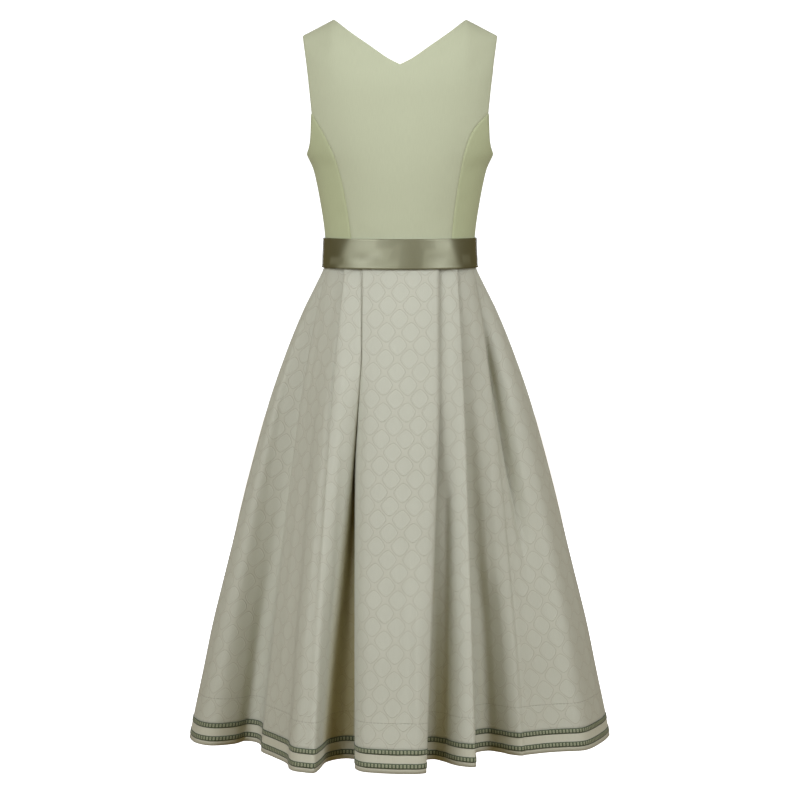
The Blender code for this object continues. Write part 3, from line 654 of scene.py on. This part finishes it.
def waist_place(line, half):
    """Where a fold line starts in the plan of the waist, on the +X side."""
    along = line.along / 1000
    if half == "front":
        along = WAIST_LENGTHS[-1] - along
    point = waist_at(np.interp(along, WAIST_LENGTHS, WAIST_TURNS))
    depth = WAIST_BACK if point[1] < 0 else WAIST_FRONT
    outward = np.array((point[0] / WAIST_HALF_WIDTH**2, point[1] / depth**2))
    return point - outward / np.linalg.norm(outward) * line.sunk / 1000


def hem_place(line, half, side):
    """Where a fold line ends in the plan of the hem, on the +X side."""
    if half == "back":
        return np.array((line.side, -line.deep)) / 1000
    uneven = FRONT_UNEVEN * side * math.sin(line.side / UNEVEN_SPAN) if line.beside else 0
    return np.array((line.side, line.deep + uneven)) / 1000


Ray = namedtuple("Ray", "name start base_end opens open_by end")


def rays(lines, half, side):
    """Each fold line as its start, the end that it would have beside its neighbour, and its own end."""
    starts = {line.name: waist_place(line, half) for line in lines}
    ends = {line.name: hem_place(line, half, side) for line in lines}
    half_name = f"{half}_{'left' if side < 0 else 'right'}"
    found = []
    for line in lines:
        other = line.beside or line.name
        start, end = starts[line.name], ends[line.name]
        placed = [point * (side, 1) for point in (start, start + ends[other] - starts[other], end)]
        found.append(Ray((half_name, line.name), *placed[:2], line.opens, line.open_by, placed[2]))
    return found


# The ring runs clockwise seen from above: from the right side seam over the back, the left and the front.
RING_RAYS = [
    *rays((BACK_CENTRE, *BACK_RIGHT), "back", 1)[:0:-1],
    *rays((BACK_CENTRE, *BACK_LEFT), "back", -1),
    *rays((FRONT_CENTRE, *FRONT_HALF), "front", -1)[:0:-1],
    *rays((FRONT_CENTRE, *FRONT_HALF), "front", 1),
]
RING_NAMES = [ray.name for ray in RING_RAYS]
LEFT_SEAM = RING_NAMES.index(("back_left", "seam_left"))


def fold_lines(zs):
    """Where each fold line is in plan at each height: an array of rows, lines and (x, y)."""
    share = smooth([f.drop for f in FLARES], [f.share for f in FLARES], WAIST_Z - zs)[:, None, None]
    start, base_end, end = (
        np.array([getattr(ray, point) for ray in RING_RAYS]) for point in ("start", "base_end", "end")
    )
    opens, open_by = np.array([(ray.opens, ray.open_by) for ray in RING_RAYS]).T[..., None]
    opened = np.clip((share - opens) / (open_by - opens), 0, 1) ** OPENING_POWER
    return start + share * (base_end - start) + opened * (end - base_end)


def rounded(p0, p1, p2, p3, share):
    """The centripetal curve from p1 to p2 at these shares, so that a tight fold stays tight."""
    def gap(a, b):
        return np.sqrt(np.maximum(np.linalg.norm(b - a, axis=-1, keepdims=True), 1e-6))
    t01, t12, t23 = gap(p0, p1), gap(p1, p2), gap(p2, p3)
    m1 = (p2 - p1) + t12 * ((p1 - p0) / t01 - (p2 - p0) / (t01 + t12))
    m2 = (p2 - p1) + t12 * ((p3 - p2) / t23 - (p3 - p1) / (t12 + t23))
    return hermite(share, p1, p2, m1, m2)


def fine_columns():
    """Each fine column of the ring as (fold line before it, share of the way to the next)."""
    hem = fold_lines(np.array([HEM_Z]))[0]
    widths = np.linalg.norm(np.roll(hem, -1, axis=0) - hem, axis=-1)
    found = []
    for i, width in enumerate(widths):
        count = max(3, round(width / SAMPLE_STEP))
        found += [(i, k / count) for k in range(count)]
    lines, shares = zip(*found)
    return np.array(lines), np.array(shares)


COLUMN_LINE, COLUMN_SHARE = fine_columns()
COLUMN_OF_LINE = np.flatnonzero(COLUMN_SHARE == 0)
COLUMNS = len(COLUMN_LINE)


def ring_plan(zs):
    """The ring of cloth at each height, in fine columns: rows, columns and (x, y)."""
    zs = np.asarray(zs, float)
    lines = fold_lines(zs)
    corners = [lines[:, (COLUMN_LINE + k) % lines.shape[1]] for k in (-1, 0, 1, 2)]
    return waved(rounded(*corners, COLUMN_SHARE[None, :, None]), zs)


def ring_lengths(plan):
    """How far each column is round its ring, row by row."""
    return lengths_along(np.swapaxes(plan, 0, 1)).T


def plan_normals(plan):
    ahead = np.roll(plan, -1, axis=1) - np.roll(plan, 1, axis=1)
    normals = np.stack([-ahead[..., 1], ahead[..., 0]], axis=-1)
    return normals / np.maximum(np.linalg.norm(normals, axis=-1, keepdims=True), 1e-9)


def column_of(half, line_name):
    """The column of a fold line. A centre line is in both its halves."""
    named = [i for i, (_, name) in enumerate(RING_NAMES) if name == line_name]
    own = [i for i in named if RING_NAMES[i][0] == half] or named
    return COLUMN_OF_LINE[own[0]]


def waved(plan, zs):
    """The ring with its soft waves."""
    lengths = ring_lengths(plan)
    drops = (WAIST_Z - zs)[:, None]
    shift = np.zeros(plan.shape[:2])
    for half, wave in ((half, Wave(*row)) for half, rows in WAVES.items() for row in rows):
        column = column_of(half, wave.beside)
        outwards = -1 if half in ("back_right", "front_left") else 1
        part = np.clip((drops - wave.top) / (wave.foot - wave.top), 0, 1)
        away = outwards * (wave.away + (wave.away_low - wave.away) * part) / 1000
        aside = lengths - lengths[:, column : column + 1] - away
        fade = ease((drops - wave.top) / WAVE_FADE) * ease((wave.foot - drops) / wave.fade)
        shift += wave.height / 1000 * bump(aside, wave.width / 1000) * fade
    return plan + plan_normals(plan) * shift[..., None]


def tuck_groups():
    """For each fine column, the number of the face it is on, counted between the tucks' inner folds."""
    starts = [COLUMN_OF_LINE[i] for i, (_, name) in enumerate(RING_NAMES) if name.endswith("_tuck")]
    return np.searchsorted(starts, np.arange(COLUMNS), side="right") % len(starts)


GROUPS = tuck_groups()


def group_anchor(group):
    """The column that a face's pattern is measured from: its fold edge, or the middle of a centre panel."""
    columns = [c for c in COLUMN_OF_LINE if GROUPS[c] == group]
    for wanted in ("_centre", "_edge", ""):
        for column in columns:
            if RING_NAMES[COLUMN_LINE[column]][1].endswith(wanted):
                return column


def skirt_sheet(zs, first, last, out=0.0):
    """The ring's columns first to last at these heights as (grid, uv). Each face has its own uv corners."""
    zs = np.asarray(zs, float)
    plan = ring_plan(zs)
    lengths = ring_lengths(plan)
    plan = plan + plan_normals(plan) * out
    whole = np.concatenate([plan, np.broadcast_to(zs[:, None, None], (*plan.shape[:2], 1))], axis=-1)
    hem_lengths = ring_lengths(ring_plan([HEM_Z]))[0]
    picked = np.arange(first, last + 1)
    grid = whole[:, picked % COLUMNS]
    ring_ends = lengths[:, -1] + np.linalg.norm(plan[:, 0] - plan[:, -1], axis=-1)
    along = lengths[:, picked % COLUMNS] + (picked // COLUMNS)[None, :] * ring_ends[:, None]
    uv = np.zeros((2, *grid.shape[:2], 2))
    uv[..., 1] = (zs - WAIST_Z + PATTERN_DROP)[:, None]
    lean = PATTERN_LEAN * (zs - WAIST_Z + PATTERN_TRUE)
    anchors = {g: group_anchor(g) for g in set(GROUPS.tolist())}
    for side in (0, 1):
        for k, column in enumerate(picked):
            anchor = anchors[GROUPS[(column - side) % COLUMNS]]
            gap = along[:, k] - lengths[:, anchor]
            gap = gap - np.round(gap / ring_ends) * ring_ends
            uv[side, :, k, 0] = round(hem_lengths[anchor] / CELL_APART) * CELL_APART + gap + lean
    return grid, uv


def pleat_depth(plan):
    """0 on the skirt's outer folds to 1 deep inside its pleats, for each point of the ring: how much
    painted shade the cloth gets there.
    """
    turns = np.arctan2(plan[..., 1], plan[..., 0])
    radii = np.linalg.norm(plan, axis=-1)
    apart = np.abs((turns[:, :, None] - turns[:, None, :] + math.pi) % (2 * math.pi) - math.pi)
    outer = np.where(apart < PLEAT_REACH, radii[:, None, :], 0).max(axis=2)
    from_side = ease((np.abs(np.sin(turns)) - PLEAT_SIDES[0]) / PLEAT_SIDES[1])
    return from_side * ease((outer - radii - PLEAT_START) / PLEAT_DEPTH)


# ---- the belt ----


def half_turn(angles):
    """Angles in degrees as their places between -180 and 180."""
    return (angles + 180) % 360 - 180


def belt_sheet():
    """The ribbon's grid, uv and patches of painted shade: once round and past itself at the front, with its
    puckers.
    """
    start, end = np.radians(BELT_TURNS)
    turns = np.linspace(start, end, BELT_COLUMNS)
    shares = np.linspace(0, 1, BELT_ROWS)
    rise = BELT_TOP_Z - BELT_BOTTOM_Z
    lift_from, lift_over = np.radians(BELT_LIFT)
    lift = ease((turns - (end - lift_from)) / lift_over)
    out = BELT_OUT + BELT_LAP_RISE * lift + BELT_FRONT_OUT * np.maximum(0.0, -np.cos(turns)) ** 2
    depth = np.where(np.cos(turns) > 0, WAIST_BACK, WAIST_FRONT)
    spread = BELT_SPREAD * (1 - shares)[:, None]
    pucker = np.zeros((len(shares), len(turns)))
    angles = half_turn(np.degrees(turns))
    degree_share = DEGREE_LENGTH / rise
    for p in PUCKERS:
        angle0, angle1 = half_turn(p.angle0), half_turn(p.angle1)
        run = np.array(((angle1 - angle0) * degree_share, p.share1 - p.share0))
        x = (angles[None, :] - angle0) * degree_share
        y = shares[:, None] - p.share0
        share = (x * run[0] + y * run[1]) / (run @ run)
        aside = (x * run[1] - y * run[0]) / np.linalg.norm(run)
        pucker += p.height / 1000 * bump(aside, p.width) * bump(share - 0.5, 0.5, 4)
    rim = RIM_RISE * (bump(shares, RIM_SHARE) + bump(1 - shares, RIM_SHARE))
    reach = out[None, :] + spread + PUCKER_SHARE * pucker + rim[:, None]
    x = (WAIST_HALF_WIDTH + reach) * np.sin(turns)
    y = -(depth + reach) * np.cos(turns)
    up = np.broadcast_to((rise * shares)[:, None], x.shape)
    grid = np.stack([x, y, BELT_BOTTOM_Z + up], axis=-1)
    uv = np.stack([np.broadcast_to(lengths_along(grid[0]), x.shape), up], axis=-1)
    # Painted shade on the satin, patch over patch, standing in for the dark parts of its reflection.
    dark = np.zeros(x.shape)
    for p in SATIN_PAINTED_SHADE_PATCHES:
        from_middle = half_turn(angles[None, :] - p.angle - p.lean * (shares[:, None] - 0.5))
        cover = bump(from_middle, p.half_angle, 10) * bump(shares[:, None] - p.share, p.half_share, 4)
        dark += (p.dark - dark) * cover
    return grid, uv, dark


# ---- from grids to pieces ----


def cloth_piece(name, grid, uv, thickness, material, closed=False, tone=None):
    """A sheet of cloth as a thin closed shell, with its place on the flat cloth as its uv map in metres.

    The share of painted shade at each point, where given, is stored for the finish to read.
    """
    rows, wide = grid.shape[:2]
    shape = bmesh.new()
    points = [[shape.verts.new(p) for p in row] for row in grid.tolist()]
    layer = shape.loops.layers.uv.new("cloth")
    sides = uv if uv.ndim == 4 else np.stack([uv, uv])
    for j in range(rows - 1):
        for i in range(wide if closed else wide - 1):
            after = (i + 1) % wide
            face = shape.faces.new((points[j][i], points[j][after], points[j + 1][after], points[j + 1][i]))
            corners = (sides[0, j, i], sides[1, j, after], sides[1, j + 1, after], sides[0, j + 1, i])
            for loop, corner in zip(face.loops, corners):
                loop[layer].uv = corner
            face.smooth = True
    outward = sum(f.normal.xy.dot(f.calc_center_median().xy) for f in shape.faces)
    if outward < 0:
        bmesh.ops.reverse_faces(shape, faces=shape.faces)
    mesh = bpy.data.meshes.new(name)
    shape.to_mesh(mesh)
    shape.free()
    if tone is not None:
        stored = mesh.attributes.new("tone", "FLOAT", "POINT")
        stored.data.foreach_set("value", tone.astype(np.float32).ravel())
    piece = added(name, mesh)
    piece.data.materials.append(material)
    solid = piece.modifiers.new("cloth", "SOLIDIFY")
    solid.thickness = thickness
    solid.offset = 0
    return piece


def added(name, data):
    """A new object with this data, in the scene."""
    made = bpy.data.objects.new(name, data)
    bpy.context.scene.collection.objects.link(made)
    return made


def place(piece, node):
    """The piece stands for this node, whose part it hides, and rides on the dress."""
    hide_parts(node)
    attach(piece, "root")


def total_length(points):
    return float(lengths_along(points)[-1])


# ---- making the finishes ----


class Nodes:
    """Adds nodes to a tree and joins them, so that a finish reads as a list of steps."""

    def __init__(self, tree):
        self.tree = tree

    def put(self, socket, value):
        if isinstance(value, bpy.types.NodeSocket):
            self.tree.links.new(value, socket)
        else:
            socket.default_value = (*value, 1) if socket.type == "RGBA" else value

    def put_all(self, sockets, values):
        for name, value in values.items():
            self.put(sockets[name], value)

    def node(self, kind, inputs, **settings):
        made = self.tree.nodes.new(f"ShaderNode{kind}")
        for name, value in settings.items():
            setattr(made, name, value)
        self.put_all(made.inputs, inputs)
        return made.outputs

    def math(self, operation, *values):
        return self.node("Math", dict(enumerate(values)), operation=operation)[0]

    def plus(self, first, second):
        return self.math("ADD", first, second)

    def minus(self, first, second):
        return self.math("SUBTRACT", first, second)

    def times(self, first, second):
        return self.math("MULTIPLY", first, second)

    def band(self, value, centre, half, soft):
        """1 where value is within half of centre, falling to 0 over soft."""
        away = self.math("ABSOLUTE", self.minus(value, centre))
        ends = {"Value": away, "From Min": half, "From Max": half + soft, "To Min": 1.0, "To Max": 0.0}
        return self.node("MapRange", ends, interpolation_type="SMOOTHSTEP")["Result"]

    def within_repeat(self, value, repeat, shift=0.0):
        """How far value is from the middle of its repeat."""
        steps = self.plus(self.math("DIVIDE", value, repeat), shift)
        away = self.math("ABSOLUTE", self.minus(self.math("FRACT", steps), 0.5))
        return self.times(away, repeat)

    def noise(self, vector, scale, detail):
        return self.node("TexNoise", {"Vector": vector, "Scale": scale, "Detail": detail})["Fac"]

    def mix(self, factor, first, second, blend="MIX"):
        inputs = {"Factor": factor, 6: first, 7: second}
        return self.node("Mix", inputs, data_type="RGBA", blend_type=blend)[2]

    def axes(self, vector):
        return self.node("SeparateXYZ", {0: vector})

    def stretched(self, vector, scale):
        return self.node("VectorMath", {0: vector, 1: scale}, operation="MULTIPLY")[0]

    def relief(self, height, distance, strength, **under):
        inputs = {"Distance": distance, "Strength": strength, "Height": height, **under}
        return self.node("Bump", inputs)[0]

    def cloth_uv(self):
        return self.node("UVMap", {}, uv_map="cloth")[0]

    def place(self):
        return self.node("TexCoord", {})["Object"]

    # The share of painted shade stored at each point of the piece.
    def tone(self):
        return self.node("Attribute", {}, attribute_name="tone")["Fac"]


def group_of(name, inputs, outputs):
    """An empty node group with these sockets, its list of steps, what it is given and what it gives."""
    group = bpy.data.node_groups.new(name, "ShaderNodeTree")
    for in_out, sockets in (("INPUT", inputs), ("OUTPUT", outputs)):
        for socket, kind in sockets.items():
            group.interface.new_socket(name=socket, in_out=in_out, socket_type=f"NodeSocket{kind}")
    given, gives = group.nodes.new("NodeGroupInput").outputs, group.nodes.new("NodeGroupOutput").inputs
    return group, Nodes(group), given, gives


def make_weave_group():
    """Plain weave: warp and weft ridges, with threads that differ a little, and slow shading."""
    vectors, values = ("UV", "Place"), ("Thread", "Thread contrast", "Cloud contrast")
    inputs = {**dict.fromkeys(vectors, "Vector"), "Colour": "Color", **dict.fromkeys(values, "Float")}
    group, n, given, gives = group_of("plain_weave", inputs, {"Colour": "Color", "Height": "Float"})
    along, across, _ = n.axes(given["UV"])
    turn = n.math("DIVIDE", math.pi, given["Thread"])
    over = n.times(n.math("SINE", n.times(along, turn)), n.math("SINE", n.times(across, turn)))
    slub = n.noise(n.stretched(given["UV"], SLUB_STRETCH), 1.0, 1.0)
    cloud = n.noise(given["Place"], CLOUD_SCALE, 3.0)
    shade = n.plus(1.0, n.times(n.minus(slub, 0.5), given["Thread contrast"]))
    shade = n.plus(shade, n.times(n.minus(cloud, 0.5), given["Cloud contrast"]))
    grey = n.node("CombineXYZ", dict.fromkeys(range(3), shade))[0]
    n.put(gives["Colour"], n.mix(1.0, given["Colour"], grey, "MULTIPLY"))
    n.put(gives["Height"], n.plus(n.times(over, 0.5), n.times(slub, 0.6)))
    return group


def make_ogee_group():
    """Lattice of round cells with pinched tips, in half drop: masks for its two lines and its cells."""
    outputs = dict.fromkeys(("Dark line", "Light line", "Cell"), "Float")
    group, n, given, gives = group_of("ogee_lattice", {"UV": "Vector"}, outputs)
    along, up, _ = n.axes(given["UV"])

    def outside(shift):
        """Distance outside the outline of the nearest cell of one of the two rows."""
        across = n.within_repeat(along, CELL_APART, shift)
        above = n.times(n.within_repeat(up, CELL_RISE, shift), CELL_SQUASH)
        powers = [n.math("POWER", side, CELL_ROUNDNESS) for side in (across, above)]
        return n.minus(n.math("POWER", n.plus(*powers), 1 / CELL_ROUNDNESS), CELL_REACH)

    distance = n.math("MINIMUM", outside(0.0), outside(0.5))
    n.put(gives["Dark line"], n.band(distance, 0.0, LATTICE_LINE, 1.5 * LATTICE_LINE))
    n.put(gives["Light line"], n.band(distance, -3 * LATTICE_LINE, LATTICE_LINE, 1.5 * LATTICE_LINE))
    n.put(gives["Cell"], n.math("LESS_THAN", distance, 0.0))
    return group


WEAVE = make_weave_group()
OGEE = make_ogee_group()


def start_finish(name, values):
    """A material, its list of steps and its shader's inputs, with these values."""
    material = bpy.data.materials.new(name)
    material.use_nodes = True
    n = Nodes(material.node_tree)
    shader = material.node_tree.nodes["Principled BSDF"].inputs
    n.put_all(shader, values)
    return material, n, shader


def start_cloth(name, roughness, sheen):
    soft = {"Specular IOR Level": 0.3, "Sheen Weight": sheen, "Sheen Roughness": 0.5}
    return start_finish(name, {"Roughness": roughness, **soft})


def weave(n, shader, thread, colour, thread_contrast, cloud_contrast):
    """Gives the shader its colour as woven in this thread. Returns the height of the weave."""
    inputs = {
        "UV": n.cloth_uv(), "Place": n.place(), "Thread": thread, "Colour": colour,
        "Thread contrast": thread_contrast, "Cloud contrast": cloud_contrast,
    }
    woven = n.node("Group", inputs, node_tree=WEAVE)
    n.put(shader["Base Color"], woven["Colour"])
    return woven["Height"]


def make_cotton_finish(name, colour, roughness=0.82, thread_contrast=0.10, cloud_contrast=0.07):
    material, n, shader = start_cloth(name, roughness, 0.12)
    height = weave(n, shader, COTTON_THREAD, colour, thread_contrast, cloud_contrast)
    n.put(shader["Normal"], n.relief(height, 0.00012, 0.5))
    return material


def make_skirt_finish():
    """Jacquard in two close tones, painted darker and browner deep inside the pleats as painted shade, with
    the hem's stitches.
    """
    material, n, shader = start_cloth("greige_jacquard", 0.7, 0.15)
    uv = n.cloth_uv()
    ogee = n.node("Group", {"UV": uv}, node_tree=OGEE)
    ground = n.mix(ogee["Cell"], SKIRT_BAND, SKIRT_GROUND)
    lighter = n.mix(ogee["Light line"], ground, SKIRT_LIGHT_THREAD)
    darker = n.mix(ogee["Dark line"], lighter, SKIRT_DARK_THREAD)
    stitched = n.band(n.axes(n.place())[2], STITCH_LINE_Z, STITCH_HALF, STITCH_SOFT)
    stitches = n.math("FRACT", n.math("DIVIDE", n.axes(uv)[0], STITCH_REPEAT))
    dash = n.math("LESS_THAN", stitches, STITCH_SHARE)
    colour = n.mix(n.times(stitched, n.times(dash, STITCH_STRENGTH)), darker, STITCH_COLOUR)
    # Painted shade: deep inside the pleats the colour is multiplied by the pleats' painted shade colour,
    # darker and browner.
    pleat_painted_shade = n.mix(n.tone(), colour, n.mix(1.0, colour, PLEAT_PAINTED_SHADE, "MULTIPLY"))
    height = weave(n, shader, SKIRT_THREAD, pleat_painted_shade, 0.10, 0.06)
    raised = n.minus(n.minus(ogee["Light line"], ogee["Dark line"]), n.times(stitched, 1.5))
    relief = n.relief(raised, LATTICE_RELIEF, 0.8)
    n.put(shader["Normal"], n.relief(height, 0.0001, 0.5, Normal=relief))
    return material


def make_satin_finish():
    material, n, shader = start_cloth("olive_satin", 0.30, 0.0)
    n.put_all(shader, {"Metallic": 0.3, "Coat Weight": 0.25, "Coat Roughness": 0.35})
    fibre = n.noise(n.stretched(n.cloth_uv(), FIBRE_STRETCH), 1.0, 2.0)
    # Painted shade: the satin's colour goes towards its dark shade colour where its painted shade patches
    # lie.
    weave(n, shader, SATIN_THREAD, n.mix(n.tone(), SATIN_COLOUR, SATIN_PAINTED_SHADE), 0.08, 0.10)
    n.put(shader["Roughness"], n.plus(0.36, n.times(fibre, 0.06)))
    n.put(shader["Normal"], n.relief(fibre, 0.00002, 0.5))
    return material


def make_trim_finish():
    """Woven trim: a row of pale blocks between dark edges, on green."""
    material, n, shader = start_cloth("woven_green_trim", 0.75, 0.15)
    places = n.axes(n.cloth_uv())
    along = n.within_repeat(places[0], TRIM_REPEAT)
    across = n.math("ABSOLUTE", n.minus(places[1], TRIM_HEIGHT / 2))
    length = n.band(along, 0.0, BLOCK_HALF_LENGTH, BLOCK_SOFT)
    block = n.times(length, n.band(across, 0.0, BLOCK_HALF_HEIGHT, BLOCK_SOFT))
    centre = n.band(n.plus(along, across), 0.0, BLOCK_CENTRE, BLOCK_CENTRE)
    light = n.math("MAXIMUM", n.minus(block, centre), 0.0)
    edge = n.band(across, TRIM_EDGE_AT, TRIM_EDGE_HALF, TRIM_EDGE_HALF)
    colour = n.mix(light, n.mix(edge, TRIM_GROUND, TRIM_EDGE), TRIM_PALE)
    height = weave(n, shader, TRIM_THREAD, colour, 0.25, 0.10)
    relief = n.relief(n.plus(light, edge), TRIM_RELIEF, 0.8)
    n.put(shader["Normal"], n.relief(height, 0.0001, 0.6, Normal=relief))
    return material


def make_button_finish():
    material, n, shader = start_finish("olive_button", {})
    cloud = n.noise(n.place(), 260.0, 3.0)
    n.put(shader["Base Color"], n.mix(cloud, BUTTON_DARK, BUTTON_PALE))
    n.put(shader["Roughness"], n.plus(0.28, n.times(cloud, 0.15)))
    n.put(shader["Normal"], n.relief(cloud, 0.0001, 0.4))
    return material


# ---- the pieces ----


def build_bodice():
    centre_cloth = make_cotton_finish("sage_cotton", BODICE_COLOUR)
    # The side panels take a darker copy of the cotton: painted shade for where they turn away from the
    # light.
    side_painted_shade_cloth = make_cotton_finish("sage_cotton_sides", BODICE_SIDE_PAINTED_SHADE_COLOUR)
    both, top = ("left", "right"), ("top",)
    # name, sheet, creases, sewn edges, turned edges, cloth, and the flat cut's width and length
    panels = [("back_centre", back_centre(), BACK_CREASES, both, top, centre_cloth, (0.36, 0.41))]
    sides = (("left", -1), ("right", 1))
    for name, side in sides:
        seam = BACK_SEAM_LEFT if side < 0 else BACK_SEAM_RIGHT
        sheet = side_panel(seam, BACK_ARMHOLE_LOW, False, side)
        panels.append((f"back_side_{name}", sheet, BACK_CREASES, both, top, side_painted_shade_cloth, (0.16, 0.25)))
    for name, side in sides:
        sheet = side_panel(FRONT_SEAM, FRONT_ARMHOLE_LOW, True, side)
        panels.append((f"front_side_{name}", sheet, FRONT_CREASES, both, top, side_painted_shade_cloth, (0.19, 0.26)))
    for name, side in sides:
        edges = (("right",), ("left", "top"))
        sheet = front_centre(side)
        panels.append((f"front_centre_{name}", sheet, FRONT_CREASES, *edges, centre_cloth, (0.20, 0.41)))
    for name, (grid, uv), creases, sewn, turned, cloth, flat in panels:
        shaped = creased(grid, creases, sewn, turned)
        piece = cloth_piece(f"{name}_cloth", shaped, uv, BODICE_CLOTH, cloth)
        place(piece, f"bodice_{name}")


def build_skirt():
    cloth, trim = make_skirt_finish(), make_trim_finish()
    plain = make_cotton_finish("plain_hem_cloth", HEM_COLOUR, 0.8, 0.12, 0.06)
    zs = np.linspace(WAIST_Z, BAND_SEAM_Z, SKIRT_ROWS)
    # How deep each point lies inside the pleats, stored as its share of painted shade for the finish.
    depths = pleat_depth(ring_plan(zs))
    left = COLUMN_OF_LINE[LEFT_SEAM]
    for name, first, last in (("skirt_back", 0, left), ("skirt_front", left, COLUMNS)):
        grid, uv = skirt_sheet(zs, first, last)
        inside = depths[:, np.arange(first, last + 1) % COLUMNS]
        piece = cloth_piece(f"{name}_cloth", grid, uv, SKIRT_CLOTH, cloth, tone=inside)
        place(piece, name)
        foot, length = total_length(grid[-1]), total_length(grid[:, 0])
    # name, heights from the top down, distance outside the band, thickness, cloth and slot
    strips = [("hem_band", np.linspace(BAND_SEAM_Z, HEM_Z, 6), 0.0, SKIRT_CLOTH, plain, "hem_cloth")]
    for name, foot in (("lower", HEM_Z + HEM_EDGE), ("upper", HEM_Z + HEM_EDGE + TRIM_SPACING)):
        heights = np.linspace(foot + TRIM_HEIGHT, foot, 4)
        strips.append((f"hem_trim_{name}", heights, TRIM_OUT, TRIM_CLOTH, trim, "trim"))
    for name, heights, out, thickness, finish, slot in strips:
        grid, uv = skirt_sheet(heights, 0, COLUMNS, out)
        uv[..., 0] = lengths_along(grid[-1])
        uv[..., 1] = (heights - heights[-1])[:, None]
        piece = cloth_piece(f"{name}_cloth", grid[:, :-1], uv, thickness, finish, closed=True)
        place(piece, name)
    hem = ring_plan([HEM_Z])[0]


def build_belt():
    grid, uv, dark = belt_sheet()
    piece = cloth_piece("belt_ribbon", grid, uv, RIBBON, make_satin_finish(), tone=dark)
    place(piece, "belt")


def build_buttons():
    """Small dished buttons with a raised rim, on the wearer's right front."""
    finish = make_button_finish()
    boxes = [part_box(f"button_{number}") for number in range(1, 6)]
    centres = [(low + high) / 2 for low, high in boxes]
    for number, (low, high) in enumerate(boxes):
        run = centres[max(0, number - 1)] - centres[min(4, number + 1)]
        outward = Vector((0, run.z, -run.y)).normalized()
        bpy.ops.object.select_all(action="DESELECT")
        radius = (high.x - low.x) / 2
        bpy.ops.mesh.primitive_cylinder_add(vertices=40, radius=radius, depth=BUTTON_THICK)
        button = bpy.context.object
        button.name = f"button_{number + 1}_dished"
        bpy.ops.object.mode_set(mode="EDIT")
        bpy.ops.mesh.select_all(action="DESELECT")
        shape = bmesh.from_edit_mesh(button.data)
        for face in shape.faces:
            face.select = face.normal.z > 0.9
        shape.select_flush(True)
        bmesh.update_edit_mesh(button.data)
        for width, rise in BUTTON_INSETS:
            bpy.ops.mesh.inset(thickness=width)
            bpy.ops.transform.translate(value=(0, 0, rise))
        bpy.ops.object.mode_set(mode="OBJECT")
        rim = button.modifiers.new("rim", "BEVEL")
        rim.width = BUTTON_BEVEL
        rim.segments = 3
        rim.limit_method = "ANGLE"
        bpy.ops.object.modifier_apply(modifier="rim")
        bpy.ops.object.shade_smooth_by_angle(angle=math.radians(40))
        button.rotation_euler = outward.to_track_quat("Z", "Y").to_euler()
        button.location = centres[number]
        bpy.ops.object.transform_apply(location=True, rotation=True, scale=True)
        button.data.materials.append(finish)
        place(button, f"button_{number + 1}")


def build_stage():
    """A plain pale floor at the wearer's feet, a white surround, and soft light from both sides."""
    bpy.ops.object.select_all(action="DESELECT")
    bpy.ops.mesh.primitive_plane_add(size=FLOOR_SIZE, location=(0, 0, FLOOR_Z))
    floor = bpy.context.object
    floor.name = "floor"
    glow = {"Emission Color": WHITE, "Emission Strength": FLOOR_GLOW}
    matt = {"Base Color": FLOOR_COLOUR, "Roughness": 0.9, "Specular IOR Level": 0.0}
    floor.data.materials.append(start_finish("pale_floor", {**matt, **glow})[0])
    floor.visible_diffuse = False
    floor.visible_glossy = False

    world = bpy.data.worlds.new("white_surround")
    bpy.context.scene.world = world
    world.use_nodes = True
    n = Nodes(world.node_tree)
    seen = n.node("LightPath", {})["Is Camera Ray"]
    strength = n.plus(WORLD_LIGHT, n.times(seen, BACKGROUND_LIGHT))
    background = world.node_tree.nodes["Background"]
    n.put_all(background.inputs, {"Color": n.mix(seen, WARM_SURROUND, WHITE), "Strength": strength})

    for name, azimuth, height, distance, width, tall, power, gloss_only in LIGHTS:
        data = bpy.data.lights.new(name, "AREA")
        data.shape = "RECTANGLE"
        data.size, data.size_y = width, tall
        data.energy = power
        data.color = COOL_LAMP
        lamp = added(name, data)
        lamp.visible_diffuse = not gloss_only
        turn = math.radians(azimuth)
        lamp.location = (distance * math.sin(turn), -distance * math.cos(turn), height)
        aim = Vector((0, 0, LIGHT_AIM_Z)) - lamp.location
        lamp.rotation_euler = aim.to_track_quat("-Z", "Y").to_euler()


def build_camera():
    data = bpy.data.cameras.new("camera")
    data.lens = CAMERA_LENS
    data.sensor_width = CAMERA_SENSOR
    camera = added("camera", data)
    camera.location = (0, -CAMERA_DISTANCE, CAMERA_Z)
    camera.rotation_euler = (math.radians(90 - CAMERA_TILT), 0, 0)
    bpy.context.scene.camera = camera
    bpy.context.scene.view_settings.view_transform = "Standard"


build_bodice()
build_skirt()
build_belt()
build_buttons()
build_stage()
build_camera()
